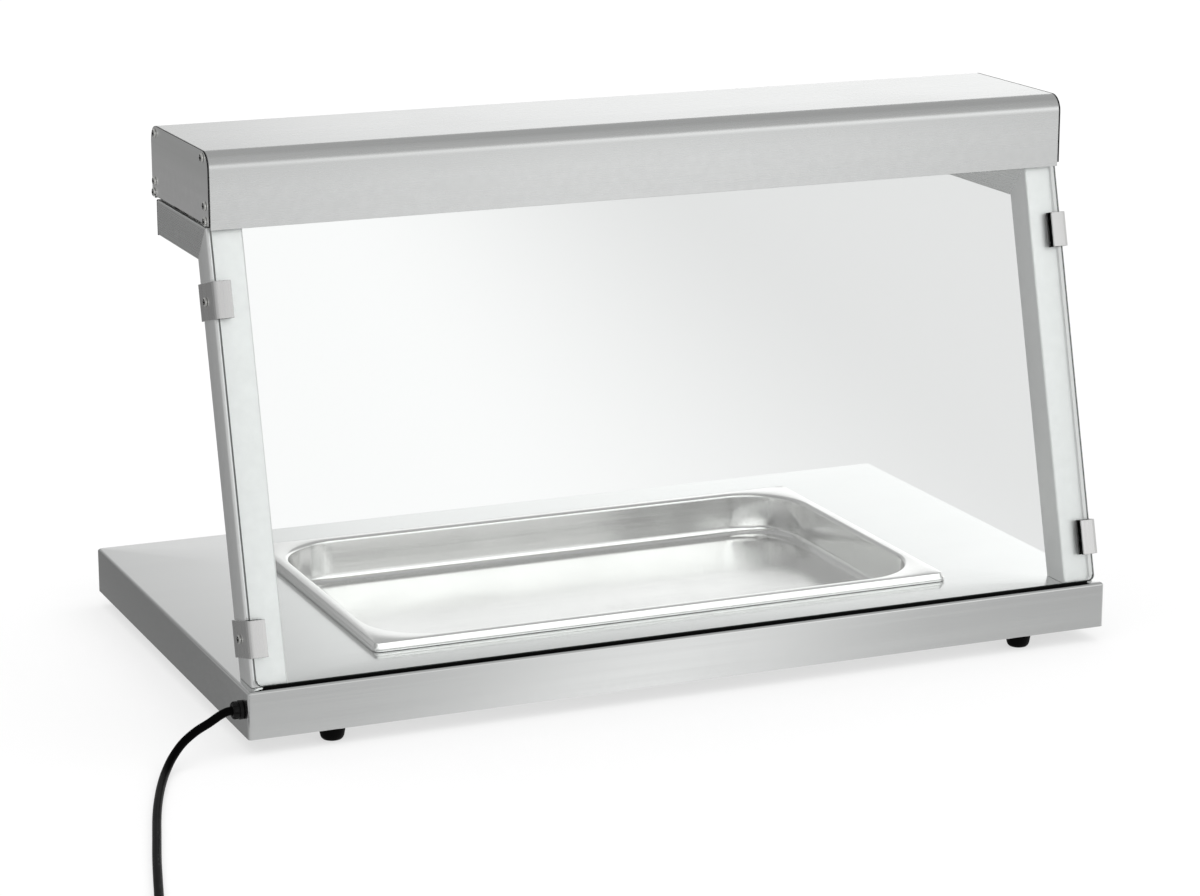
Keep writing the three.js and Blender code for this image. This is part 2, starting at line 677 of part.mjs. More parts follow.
add("regulator_body", makeRegulatorBody(), blackPlastic);
add("regulator_knob", makeKnob(), blackPlastic);
add("switch_body", makeSwitchBody(), blackPlastic);
add("switch_rocker", makeRocker(), redPlastic);

// ---------------------------------------------------------------- lamp lead inside the left post
function sweep(points, radius, sideCount, steps) {
  const route = points.map((point) => new THREE.Vector3(...point));
  const path = new THREE.CatmullRomCurve3(route, false, "centripetal");
  const section = new THREE.Shape();
  const corner = (i) => (i / sideCount) * Math.PI * 2;
  section.setFromPoints(
    Array.from({ length: sideCount }, (_, i) =>
      new THREE.Vector2(radius * Math.cos(corner(i)), radius * Math.sin(corner(i))),
    ),
  );
  return solid(new THREE.ExtrudeGeometry(section, { steps, extrudePath: path, bevelEnabled: false }));
}

// From the terminal block up the post's middle, back along the arm and up into the hood.
function makeLampLead() {
  const x = -postCentreX;
  const up = (z) => postAxis(x, z);
  const armMid = (armTop + armBottom) / 2;
  const start = up(skirtBottom + 18);
  const insideBase = [
    [x + 30, start[1] + 26, plateTop + 8],
    [x + 8, start[1] + 10, plateTop + 10],
  ];
  const insidePost = [up(baseTop + 2), up(baseTop + 30), up(armBottom - 60), up(armBottom - 12)];
  const insideArm = [
    [x, up(armMid)[1] + 14, armMid + 1],
    [x, leadY - 18, armMid + 1],
    [x, leadY - 3, armMid + 6],
  ];
  const insideHood = [
    [x, leadY, armTop],
    [x, leadY, armTop + 10],
    [x + 14, leadY + 2, armTop + 22],
    [x + 52, leadY + 4, armTop + 24],
  ];
  return sweep([...insideBase, ...insidePost, ...insideArm, ...insideHood], lead.radius, 8, 44);
}
add("lamp_lead", makeLampLead(), cordJacket);

// ---------------------------------------------------------------- mains cord, from the left side
const glandPlace = [-base.width / 2, baseFront + gland.setback, baseTop - gland.drop];

function makeGland() {
  const mouth = cord.radius + 1.6;
  const throat = cord.radius + 2;
  const profile = [
    [0, -gland.inside],
    [throat, -gland.inside],
    [throat, gap],
    [gland.radius, gap],
    [gland.radius, gland.reach * 0.4],
    [gland.radius - 1.2, gland.reach * 0.5],
    [gland.radius - 1.4, gland.reach * 0.85],
    [mouth, gland.reach],
    [0, gland.reach],
  ];
  return turned(profile, new THREE.Vector3(-1, 0, 0), glandPlace, 24);
}

const floorZ = cord.radius + 0.1;
// The cord leaves the gland, droops to the surface and runs forward past the front corner.
const cordRoute = [
  [glandPlace[0] - gland.reach - 2 * gap, glandPlace[1], glandPlace[2]],
  [-402.6, -209.5, 34.4],
  [-408.5, -210, 32.4],
  [-418, -212.2, 28.2],
  [-430.8, -215.8, 23.5],
  [-442.8, -221, 17.5],
  [-453.9, -230.5, 10.6],
  [-464.8, -247.5, 5.3],
  [-476.7, -275.3, 3.8],
  [-489.1, -309.9, floorZ],
  [-498.3, -338.9, floorZ],
  [-510.1, -379.7, floorZ],
  [-522, -421.3, floorZ],
  [-532.9, -461.8, floorZ],
  [-540.8, -491.8, floorZ],
];
const coilCentre = [-517.8, -597.1];
const coilEntry = THREE.MathUtils.degToRad(165.2);
const coilSpread = 1.25 * cord.pitch;
const coilOuter = cord.coilRadius + coilSpread;
const entryPoint = [
  coilCentre[0] + coilOuter * Math.cos(coilEntry),
  coilCentre[1] + coilOuter * Math.sin(coilEntry),
];
const coilExit = THREE.MathUtils.degToRad(255.2);
const coilTop = floorZ + cord.pitch;
const exitPoint = [
  coilCentre[0] + coilOuter * Math.cos(coilExit),
  coilCentre[1] + coilOuter * Math.sin(coilExit),
];
const exitHeading = [-Math.sin(coilExit), Math.cos(coilExit)];
const alongExit = (distance, z) => [
  exitPoint[0] + exitHeading[0] * distance,
  exitPoint[1] + exitHeading[1] * distance,
  z,
];

function coilRing(grow) {
  const inner = cord.coilRadius - coilSpread - cord.radius - grow;
  const outer = coilOuter + cord.radius + grow;
  const low = 0.1 - grow;
  const high = coilTop + cord.radius + grow;
  const round = 3;
  const profile = [
    [inner, low + round],
    [inner + round, low],
    [outer - round, low],
    [outer, low + round],
    [outer, high - round],
    [outer - round, high],
    [inner + round, high],
    [inner, high - round],
    [inner, low + round],
  ];
  return turned(profile, Y, [0, 0, 0], 40).rotate([90, 0, 0]).translate([...coilCentre, 0]);
}

const plugZ = plug.radius + 0.2;

function makeCord() {
  const route = sweep([...cordRoute, [...entryPoint, floorZ]], cord.radius, cord.sides, cord.steps);
  return cut(route, coilRing(gap));
}

function makeCoil() {
  const tail = rod(alongExit(0, coilTop), alongExit(plug.stub, plugZ), cord.radius, cord.sides);
  return join(coilRing(0), tail);
}

function makePlug() {
  const heading = new THREE.Vector3(exitHeading[0], exitHeading[1], 0);
  const start = alongExit(plug.stub + gap + 1, plugZ);
  const profile = [
    [0, 0],
    [plug.tailRadius, 0],
    [plug.tailRadius + 2, plug.tail],
    [plug.radius - 5, plug.tail + 2],
    [plug.radius - 1, plug.tail + plug.body * 0.45],
    [plug.radius, plug.tail + plug.body * 0.8],
    [plug.radius - 0.6, plug.tail + plug.body],
    [0, plug.tail + plug.body],
  ];
  const body = turned(profile, heading, start, 24);
  const side = [-exitHeading[1], exitHeading[0]];
  const face = plug.stub + gap + 1 + plug.tail + plug.body;
  const pins = [-plug.pinHalf, plug.pinHalf].map((shift) => {
    const place = (distance) => {
      const [x, y, z] = alongExit(distance, plugZ);
      return [x + side[0] * shift, y + side[1] * shift, z];
    };
    return rod(place(face - 2), place(face + plug.pinLength), plug.pinRadius, 12);
  });
  return join(body, ...pins);
}

add("cord_gland", makeGland(), blackPlastic);
add("cord", makeCord(), cordJacket);
add("cord_coil", makeCoil(), cordJacket);
add("mains_plug", makePlug(), blackPlastic);

export default object;
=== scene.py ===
import json
import math

import bmesh
import bpy
import numpy as np
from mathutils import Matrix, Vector


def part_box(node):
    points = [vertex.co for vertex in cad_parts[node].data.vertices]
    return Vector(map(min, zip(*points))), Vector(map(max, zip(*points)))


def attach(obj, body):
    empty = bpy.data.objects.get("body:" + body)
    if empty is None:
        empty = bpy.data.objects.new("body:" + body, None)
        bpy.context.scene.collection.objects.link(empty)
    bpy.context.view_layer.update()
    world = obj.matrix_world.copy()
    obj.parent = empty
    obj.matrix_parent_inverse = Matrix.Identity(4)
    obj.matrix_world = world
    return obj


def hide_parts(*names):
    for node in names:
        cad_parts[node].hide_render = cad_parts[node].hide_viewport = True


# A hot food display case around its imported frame. Metres, +Z up, +X right, the glass faces -Y.
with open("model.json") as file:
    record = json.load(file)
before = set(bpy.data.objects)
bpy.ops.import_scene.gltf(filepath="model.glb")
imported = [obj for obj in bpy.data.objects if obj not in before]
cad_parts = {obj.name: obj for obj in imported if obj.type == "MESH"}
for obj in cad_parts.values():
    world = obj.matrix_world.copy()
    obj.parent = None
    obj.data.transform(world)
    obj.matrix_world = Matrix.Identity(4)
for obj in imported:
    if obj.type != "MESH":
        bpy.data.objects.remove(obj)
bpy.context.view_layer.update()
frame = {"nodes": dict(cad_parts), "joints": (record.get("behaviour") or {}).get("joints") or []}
MM = 0.001

# ------------------------------------------------------------------ sizes that follow the frame
LEAN = math.radians(14.5)
SHEET = 1.2 * MM
base_low, base_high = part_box("base_shell")
post_low, post_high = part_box("post_left")
hood_low, hood_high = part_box("hood_cover")
end_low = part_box("hood_end_left")[0]
tray_low, tray_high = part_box("hood_reflector")
pan_low, pan_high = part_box("food_pan")
base_top = base_high.z
frame_half = -end_low.x
tube_size = post_high.x - post_low.x
CASE, PAN, KNOB, ROCKER = "case", "pan", "knob", "rocker"


def post_front(z):
    """The y of the posts' front face at level z: it leans back by the tangent of the lean."""
    return post_low.y + math.tan(LEAN) * (z - post_low.z)


screen_origin = np.array([0, post_front(base_top), base_top])


def on_screen(points):
    """Screen coordinates (x, up the posts' front, out of it) turned into the row frame."""
    x, up, out = np.asarray(points, float).T
    y = screen_origin[1] + up * math.sin(LEAN) - out * math.cos(LEAN)
    z = screen_origin[2] + up * math.cos(LEAN) + out * math.sin(LEAN)
    return np.stack([x, y, z], axis=1)


# ------------------------------------------------------------------ camera
CAMERA_LENS = 105.17
CAMERA_SENSOR = 36
CAMERA_PLACE = (-1.1633, -2.7522, base_top + 0.8734)
LOOKS_DOWN = 14.385
TURNED_RIGHT = 23.044


def make_camera():
    """A long lens from the front left, a little above the hood."""
    camera = bpy.data.objects.new("camera", bpy.data.cameras.new("camera"))
    bpy.context.scene.collection.objects.link(camera)
    camera.data.lens = CAMERA_LENS
    camera.data.sensor_width = CAMERA_SENSOR
    camera.location = CAMERA_PLACE
    camera.rotation_euler = (math.radians(90 - LOOKS_DOWN), 0, math.radians(-TURNED_RIGHT))
    bpy.context.scene.camera = camera


make_camera()


# ------------------------------------------------------------------ surfaces as arrays
def grid(rows, columns, closed_rows=False, closed_columns=False):
    """Quads between neighbours of a rows x columns grid of points, wrapped where it is closed."""
    i = np.arange(rows if closed_rows else rows - 1)[:, None]
    j = np.arange(columns if closed_columns else columns - 1)[None, :]
    next_i = (i + 1) % rows
    next_j = (j + 1) % columns
    corners = [i * columns + j, i * columns + next_j, next_i * columns + next_j, next_i * columns + j]
    return np.stack([np.broadcast_to(c, (i.size, j.size)) for c in corners], -1).reshape(-1, 4)


def lofted(rows, first_cap=True, last_cap=True):
    """A skin over closed loops of equal count, one row each, with its first and last loop filled."""
    rows = np.asarray(rows, float)
    count, around = rows.shape[:2]
    faces = grid(count, around, closed_columns=True).tolist()
    if first_cap:
        faces.append(list(range(around))[::-1])
    if last_cap:
        faces.append(list(range((count - 1) * around, count * around)))
    return rows.reshape(-1, 3), faces


def rounded_loop(width, depth, radius, steps=10):
    """A rectangle with round corners, anticlockwise: each corner is a quarter circle about a point
    one radius inside both sides."""
    angle = np.linspace(0, math.pi / 2, steps + 1)
    turns = np.arange(4)[:, None] * math.pi / 2 + angle
    across = np.array([1, -1, -1, 1])[:, None] * (width / 2 - radius)
    along = np.array([1, 1, -1, -1])[:, None] * (depth / 2 - radius)
    loop = np.stack([across + radius * np.cos(turns), along + radius * np.sin(turns)], -1)
    return loop.reshape(-1, 2)


def stacked(levels, centre=(0, 0), steps=10, first_cap=False, last_cap=True):
    """Rounded rectangles (width, depth, radius, z) joined one to the next."""
    rows = []
    for width, depth, radius, z in levels:
        loop = rounded_loop(width, depth, radius, steps) + np.asarray(centre)
        rows.append(np.column_stack([loop, np.full(len(loop), z)]))
    return lofted(rows, first_cap, last_cap)


def arc(centre, radius, start, end, steps):
    """Points of a circle from one angle to another, in degrees."""
    angle = np.radians(np.linspace(start, end, steps + 1))
    return np.column_stack([centre[0] + radius * np.cos(angle), centre[1] + radius * np.sin(angle)])


def softened(points, radius, steps=4):
    """An open line with each inner corner rounded by a parabola that starts and ends one radius from
    it, or half the way to the next corner if that is nearer."""
    points = np.asarray(points, float)
    line = [points[:1]]
    share = np.linspace(0, 1, steps + 1)[:, None]
    for before, corner, after in zip(points[:-2], points[1:-1], points[2:]):
        back, ahead = before - corner, after - corner
        start = corner + back * min(0.5, radius / np.linalg.norm(back))
        end = corner + ahead * min(0.5, radius / np.linalg.norm(ahead))
        line.append((1 - share) ** 2 * start + 2 * share * (1 - share) * corner + share**2 * end)
    line.append(points[-1:])
    return np.concatenate(line)


def offset_line(points, distance):
    """The line moved to its right-hand side: each point along the mean of its two normals, longer
    by one over the cosine of half the turn."""
    along = np.diff(points, axis=0)
    along /= np.linalg.norm(along, axis=1)[:, None]
    normal = np.column_stack([along[:, 1], -along[:, 0]])
    before = np.vstack([normal[:1], normal])
    after = np.vstack([normal, normal[-1:]])
    middle = before + after
    middle /= np.linalg.norm(middle, axis=1)[:, None]
    reach = distance / (middle * before).sum(1)
    return points + middle * reach[:, None]


def folded_sheet(line, thickness, start, end, place=np.asarray):
    """A sheet whose section is a line in a plane, thickened to its right-hand side and carried from
    start to end across the plane. place turns (across, u, v) into the row frame."""
    section = np.vstack([line, offset_line(line, thickness)[::-1]])
    rows = [place(np.column_stack([np.full(len(section), t), section])) for t in (start, end)]
    count, half = len(section), len(line)
    faces = grid(2, count, closed_columns=True).tolist()
    for row in (0, count):
        faces += [[row + i, row + i + 1, row + count - 2 - i, row + count - 1 - i] for i in range(half - 1)]
    return np.concatenate(rows), faces


def turned(profile, sides=32):
    """A profile of (radius, height) carried round the height axis, as (across, across, height)."""
    profile = np.asarray(profile, float)
    angle = np.arange(sides) * 2 * math.pi / sides
    across = profile[:, 0][:, None] * np.cos(angle)
    beside = profile[:, 0][:, None] * np.sin(angle)
    height = np.broadcast_to(profile[:, 1][:, None], across.shape)
    rows = np.stack([across, beside, height], -1)
    return rows.reshape(-1, 3), grid(len(profile), sides, closed_columns=True).tolist()


def basis(axis):
    """Three unit vectors, the last along axis."""
    axis = np.asarray(axis, float) / np.linalg.norm(axis)
    helper = np.array([0.0, 0, 1]) if abs(axis[2]) < 0.9 else np.array([1.0, 0, 0])
    first = np.cross(helper, axis)
    first /= np.linalg.norm(first)
    return np.stack([first, np.cross(axis, first), axis])


def placed(surface, origin, axis):
    """A surface whose third direction is turned to axis and whose zero is put at origin."""
    points, faces = surface
    return points @ basis(axis) + np.asarray(origin, float), faces


def bar(start, end, radius, sides=12):
    """A round bar with domed ends: a quarter circle at each end of its profile."""
    start, end = np.asarray(start, float), np.asarray(end, float)
    length = np.linalg.norm(end - start)
    angle = np.linspace(0, math.pi / 2, 5)
    low = np.column_stack([radius * np.sin(angle), radius * (1 - np.cos(angle))])
    high = np.column_stack([radius * np.cos(angle), length - radius * (1 - np.sin(angle))])
    return placed(turned(np.vstack([low, high]), sides), start, end - start)


def tube_path(points, radius, sides=10):
    """A tube about a line of points: a circle across each point's direction, carried along so that
    it doesn't twist."""
    points = np.asarray(points, float)
    along = np.gradient(points, axis=0)
    along /= np.linalg.norm(along, axis=1)[:, None]
    first = basis(along[0])[0]
    rows = []
    angle = np.arange(sides) * 2 * math.pi / sides
    for point, direction in zip(points, along):
        first = first - direction * first.dot(direction)
        first /= np.linalg.norm(first)
        second = np.cross(direction, first)
        rows.append(point + radius * (np.cos(angle)[:, None] * first + np.sin(angle)[:, None] * second))
    return lofted(rows)


def block(low, high):
    """The eight corners of a box and its six faces."""
    (x0, y0, z0), (x1, y1, z1) = low, high
    corners = [(x, y, z) for z in (z0, z1) for x, y in ((x0, y0), (x1, y0), (x1, y1), (x0, y1))]
    faces = [[3, 2, 1, 0], [4, 5, 6, 7]] + [[i, (i + 1) % 4, (i + 1) % 4 + 4, i + 4] for i in range(4)]
    return np.array(corners, float), faces


# ------------------------------------------------------------------ pieces
def finish_mesh(mesh, sharp=35):
    """Merges what meets, turns all faces outwards and keeps edges past an angle sharp."""
    work = bmesh.new()
    work.from_mesh(mesh)
    bmesh.ops.remove_doubles(work, verts=work.verts, dist=2e-6)
    bmesh.ops.recalc_face_normals(work, faces=work.faces)
    work.to_mesh(mesh)
    work.free()
    mesh.polygons.foreach_set("use_smooth", np.ones(len(mesh.polygons), bool))
    mesh.set_sharp_from_angle(angle=math.radians(sharp))
    mesh.update()


def bevelled(piece, width, angle=35, segments=3):
    """Breaks the edges sharper than the angle with a small rounded bevel."""
    edge = piece.modifiers.new("edges", "BEVEL")
    edge.width = width
    edge.segments = segments
    edge.limit_method = "ANGLE"
    edge.angle_limit = math.radians(angle)
    edge.use_clamp_overlap = True
    edge.miter_outer = "MITER_ARC"
    return piece


def piece_of(name, surfaces, material, body=CASE, replaces=(), edge=0, sharp=35):
    """One mesh object from one or more surfaces, on its body."""
    surfaces = surfaces if isinstance(surfaces, list) else [surfaces]
    points, faces, start = [], [], 0
    for surface_points, surface_faces in surfaces:
        points.append(np.asarray(surface_points, float))
        faces += [[start + corner for corner in face] for face in surface_faces]
        start += len(surface_points)
    mesh = bpy.data.meshes.new(name)
    mesh.from_pydata(np.concatenate(points).tolist(), [], faces)
    finish_mesh(mesh, sharp)
    mesh.materials.append(material)
    piece = bpy.data.objects.new(name, mesh)
    bpy.context.scene.collection.objects.link(piece)
    if edge:
        bevelled(piece, edge)
    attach(piece, body)
    if replaces:
        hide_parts(*([replaces] if isinstance(replaces, str) else replaces))
    return piece


def refined(node, name, material, edge, body=CASE, sharp=35):
    """A merged copy of a frame node with its flat facets joined and its edges broken."""
    mesh = frame["nodes"][node].data.copy()
    mesh.name = name
    work = bmesh.new()
    work.from_mesh(mesh)
    bmesh.ops.remove_doubles(work, verts=work.verts, dist=2e-6)
    bmesh.ops.dissolve_limit(
        work, angle_limit=math.radians(0.5), verts=work.verts, edges=work.edges,
        use_dissolve_boundaries=False,
    )
    work.to_mesh(mesh)
    work.free()
    finish_mesh(mesh, sharp)
    mesh.materials.clear()
    mesh.materials.append(material)
    piece = bpy.data.objects.new(name, mesh)
    bpy.context.scene.collection.objects.link(piece)
    bevelled(piece, edge)
    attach(piece, body)
    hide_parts(node)
    return piece


def second_material(piece, material, chosen):
    """Gives the faces that the test picks by their normals and middles a second material."""
    mesh = piece.data
    count = len(mesh.polygons)
    normal, middle = np.empty(count * 3), np.empty(count * 3)
    mesh.polygons.foreach_get("normal", normal)
    mesh.polygons.foreach_get("center", middle)
    mesh.materials.append(material)
    picked = chosen(normal.reshape(-1, 3), middle.reshape(-1, 3))
    mesh.polygons.foreach_set("material_index", np.asarray(picked, np.int32))


def dress(node, material):
    """A frame node that keeps its shape gets this material, in its object's own slot."""
    slot = frame["nodes"][node].material_slots[0]
    slot.link = "OBJECT"
    slot.material = material


# ------------------------------------------------------------------ shared effects
def new_group(name, inputs, outputs):
    """An empty shader group with these named inputs and outputs."""
    group = bpy.data.node_groups.new(name, "ShaderNodeTree")
    for label, kind, value in inputs:
        socket = group.interface.new_socket(name=label, in_out="INPUT", socket_type=kind)
        if value is not None:
            socket.default_value = value
    for label, kind in outputs:
        group.interface.new_socket(name=label, in_out="OUTPUT", socket_type=kind)
    entry = group.nodes.new("NodeGroupInput")
    leave = group.nodes.new("NodeGroupOutput")
    return group, entry, leave


def maths(tree, operation, first, second=None, third=None):
    """One sum on one, two or three values."""
    node = tree.nodes.new("ShaderNodeMath")
    node.operation = operation
    for index, value in enumerate((first, second, third)):
        if value is None:
            continue
        if isinstance(value, (int, float)):
            node.inputs[index].default_value = value
        else:
            tree.links.new(value, node.inputs[index])
    return node.outputs[0]


def ranged(tree, value, low, high, to_low, to_high):
    """Maps a value from one range to another and holds it there."""
    node = tree.nodes.new("ShaderNodeMapRange")
    node.interpolation_type = "SMOOTHSTEP"
    tree.links.new(value, node.inputs["Value"])
    for label, number in (("From Min", low), ("From Max", high), ("To Min", to_low), ("To Max", to_high)):
        if isinstance(number, (int, float)):
            node.inputs[label].default_value = number
        else:
            tree.links.new(number, node.inputs[label])
    return node.outputs["Result"]


def noise(tree, vector, scale, detail=2.0, rough=0.5):
    """A smooth noise over the given coordinates."""
    node = tree.nodes.new("ShaderNodeTexNoise")
    node.inputs["Scale"].default_value = scale
    node.inputs["Detail"].default_value = detail
    node.inputs["Roughness"].default_value = rough
    tree.links.new(vector, node.inputs["Vector"])
    return node.outputs["Fac"]


def brushed_group():
    """Fine scratches along the first direction of the given vector, and soft handling marks over
    it: the vector's other two directions are taken much finer than the first."""
    group, entry, leave = new_group(
        "brushed_grain",
        [("Vector", "NodeSocketVector", None), ("Roughness", "NodeSocketFloat", 0.3),
         ("Spread", "NodeSocketFloat", 0.06), ("Smudge", "NodeSocketFloat", 0.04)],
        [("Roughness", "NodeSocketFloat"), ("Height", "NodeSocketFloat"), ("Shade", "NodeSocketFloat")],
    )
    squeezed = group.nodes.new("ShaderNodeVectorMath")
    squeezed.operation = "MULTIPLY"
    squeezed.inputs[1].default_value = (6, 1900, 1900)
    group.links.new(entry.outputs["Vector"], squeezed.inputs[0])
    fine = noise(group, squeezed.outputs[0], 1.0, 3.0, 0.6)
    broad_squeeze = group.nodes.new("ShaderNodeVectorMath")
    broad_squeeze.operation = "MULTIPLY"
    broad_squeeze.inputs[1].default_value = (2, 260, 260)
    group.links.new(entry.outputs["Vector"], broad_squeeze.inputs[0])
    broad = noise(group, broad_squeeze.outputs[0], 1.0, 2.0, 0.5)
    handled = noise(group, entry.outputs["Vector"], 9.0, 4.0, 0.6)
    marks = ranged(group, handled, 0.45, 0.75, 0, 1)
    grain = maths(group, "MULTIPLY_ADD", broad, 0.5, maths(group, "MULTIPLY", fine, 0.5))
    centred = maths(group, "SUBTRACT", grain, 0.5)
    spread = maths(group, "MULTIPLY", centred, maths(group, "MULTIPLY", entry.outputs["Spread"], 4.0))
    smudged = maths(group, "MULTIPLY", marks, entry.outputs["Smudge"])
    rough = maths(group, "ADD", entry.outputs["Roughness"], maths(group, "ADD", spread, smudged))
    group.links.new(maths(group, "MAXIMUM", rough, 0.03), leave.inputs["Roughness"])
    group.links.new(grain, leave.inputs["Height"])
    shade = maths(group, "ADD", 1.0, maths(group, "MULTIPLY", centred, 0.07))
    group.links.new(shade, leave.inputs["Shade"])
    return group


def edge_group():
    """A mask that is one on outward edges, from how far the surface turns away around a point."""
    group, entry, leave = new_group(
        "edge_wear",
        [("Low", "NodeSocketFloat", 0.52), ("High", "NodeSocketFloat", 0.6)],
        [("Mask", "NodeSocketFloat")],
    )
    shape = group.nodes.new("ShaderNodeNewGeometry")
    spots = group.nodes.new("ShaderNodeTexCoord")
    broken = noise(group, spots.outputs["Object"], 120.0, 3.0, 0.6)
    pointed = shape.outputs["Pointiness"]
    turned_away = ranged(group, pointed, entry.outputs["Low"], entry.outputs["High"], 0.0, 1.0)
    patchy = maths(group, "ADD", broken, 0.25)
    worn = maths(group, "MULTIPLY", turned_away, patchy)
    group.links.new(worn, leave.inputs["Mask"])
    return group


def speckle_group():
    """Moulded grain: a fine cell pattern with a slower cloud of wear over it."""
    group, entry, leave = new_group(
        "moulded_grain",
        [("Vector", "NodeSocketVector", None), ("Scale", "NodeSocketFloat", 900.0),
         ("Roughness", "NodeSocketFloat", 0.5), ("Spread", "NodeSocketFloat", 0.1)],
        [("Roughness", "NodeSocketFloat"), ("Height", "NodeSocketFloat"), ("Dust", "NodeSocketFloat")],
    )
    fine = group.nodes.new("ShaderNodeTexVoronoi")
    group.links.new(entry.outputs["Vector"], fine.inputs["Vector"])
    group.links.new(entry.outputs["Scale"], fine.inputs["Scale"])
    cloud = noise(group, entry.outputs["Vector"], 35.0, 4.0, 0.6)
    centred = maths(group, "SUBTRACT", cloud, 0.5)
    rough = maths(group, "MULTIPLY_ADD", centred, maths(group, "MULTIPLY", entry.outputs["Spread"], 3.0),
                  entry.outputs["Roughness"])
    group.links.new(maths(group, "MAXIMUM", rough, 0.05), leave.inputs["Roughness"])
    group.links.new(fine.outputs["Distance"], leave.inputs["Height"])
    group.links.new(ranged(group, cloud, 0.55, 0.8, 0.0, 1.0), leave.inputs["Dust"])
    return group


brushed = brushed_group()
edges = edge_group()
speckle = speckle_group()


# ------------------------------------------------------------------ materials
def blank(name):
    """A material with its Principled shader and its texture coordinates."""
    material = bpy.data.materials.new(name)
    material.use_nodes = True
    tree = material.node_tree
    shader = tree.nodes["Principled BSDF"]
    where = tree.nodes.new("ShaderNodeTexCoord")
    return material, tree, shader, where


def scaled_colour(tree, colour, shade):
    """A plain colour times a value that varies over the surface."""
    mix = tree.nodes.new("ShaderNodeMix")
    mix.data_type = "RGBA"
    mix.blend_type = "MULTIPLY"
    mix.inputs["Factor"].default_value = 1.0
    mix.inputs["A"].default_value = (*colour, 1)
    tree.links.new(shade, mix.inputs["B"])
    return mix.outputs["Result"]


def between(tree, factor, first, second):
    """Goes from the first colour to the second by a mask."""
    mix = tree.nodes.new("ShaderNodeMix")
    mix.data_type = "RGBA"
    tree.links.new(factor, mix.inputs["Factor"])
    for socket, value in ((mix.inputs["A"], first), (mix.inputs["B"], second)):
        if isinstance(value, tuple):
            socket.default_value = (*value, 1)
        else:
            tree.links.new(value, socket)
    return mix.outputs["Result"]


def raised(tree, height, shader, strength, distance):
    """Feeds a height to the shader as a bump."""
    bump = tree.nodes.new("ShaderNodeBump")
    bump.inputs["Strength"].default_value = strength
    bump.inputs["Distance"].default_value = distance
    tree.links.new(height, bump.inputs["Height"])
    tree.links.new(bump.outputs["Normal"], shader.inputs["Normal"])


def steel(name, colour, roughness, turn=(0, 0, 0), spread=0.035, smudge=0.012, strength=0.035):
    """Stainless sheet with its grain along X, or along what X becomes under the turn."""
    material, tree, shader, where = blank(name)
    mapping = tree.nodes.new("ShaderNodeMapping")
    mapping.inputs["Rotation"].default_value = turn
    tree.links.new(where.outputs["Object"], mapping.inputs["Vector"])
    grain = tree.nodes.new("ShaderNodeGroup")
    grain.node_tree = brushed
    tree.links.new(mapping.outputs["Vector"], grain.inputs["Vector"])
    grain.inputs["Roughness"].default_value = roughness
    grain.inputs["Spread"].default_value = spread
    grain.inputs["Smudge"].default_value = smudge
    wear = tree.nodes.new("ShaderNodeGroup")
    wear.node_tree = edges
    shaded = scaled_colour(tree, colour, grain.outputs["Shade"])
    worn = tuple(min(1.0, c * 1.12) for c in colour)
    tree.links.new(between(tree, wear.outputs["Mask"], shaded, worn), shader.inputs["Base Color"])
    tree.links.new(grain.outputs["Roughness"], shader.inputs["Roughness"])
    shader.inputs["Metallic"].default_value = 1.0
    raised(tree, grain.outputs["Height"], shader, strength, 0.00004)
    return material


def moulded(name, colour, roughness, scale=900.0, strength=0.2, coat=0.0, dust=0.03, shine=0.35):
    """Rubber or plastic with a fine moulded grain, paler where it is rubbed."""
    material, tree, shader, where = blank(name)
    grain = tree.nodes.new("ShaderNodeGroup")
    grain.node_tree = speckle
    tree.links.new(where.outputs["Object"], grain.inputs["Vector"])
    grain.inputs["Scale"].default_value = scale
    grain.inputs["Roughness"].default_value = roughness
    wear = tree.nodes.new("ShaderNodeGroup")
    wear.node_tree = edges
    paler = tuple(min(1.0, c + dust) for c in colour)
    rubbed = between(tree, grain.outputs["Dust"], tuple(colour), paler)
    edge = tuple(min(1.0, c + 2 * dust) for c in colour)
    tree.links.new(between(tree, wear.outputs["Mask"], rubbed, edge), shader.inputs["Base Color"])
    tree.links.new(grain.outputs["Roughness"], shader.inputs["Roughness"])
    shader.inputs["Coat Weight"].default_value = coat
    shader.inputs["Specular IOR Level"].default_value = shine
    raised(tree, grain.outputs["Height"], shader, strength, 0.0001)
    return material


def clear_glass(name, tint, ior=1.5, roughness=0.0):
    """Glass that lets lamps through, so that what is behind it is lit."""
    material, tree, shader, where = blank(name)
    shader.inputs["Base Color"].default_value = (*tint, 1)
    shader.inputs["Roughness"].default_value = roughness
    shader.inputs["IOR"].default_value = ior
    shader.inputs["Transmission Weight"].default_value = 1.0
    tree.nodes.remove(where)
    path = tree.nodes.new("ShaderNodeLightPath")
    through = tree.nodes.new("ShaderNodeBsdfTransparent")
    through.inputs["Color"].default_value = (*tint, 1)
    mix = tree.nodes.new("ShaderNodeMixShader")
    output = tree.nodes["Material Output"]
    tree.links.new(path.outputs["Is Shadow Ray"], mix.inputs["Fac"])
    tree.links.new(shader.outputs["BSDF"], mix.inputs[1])
    tree.links.new(through.outputs["BSDF"], mix.inputs[2])
    tree.links.new(mix.outputs["Shader"], output.inputs["Surface"])
    return material


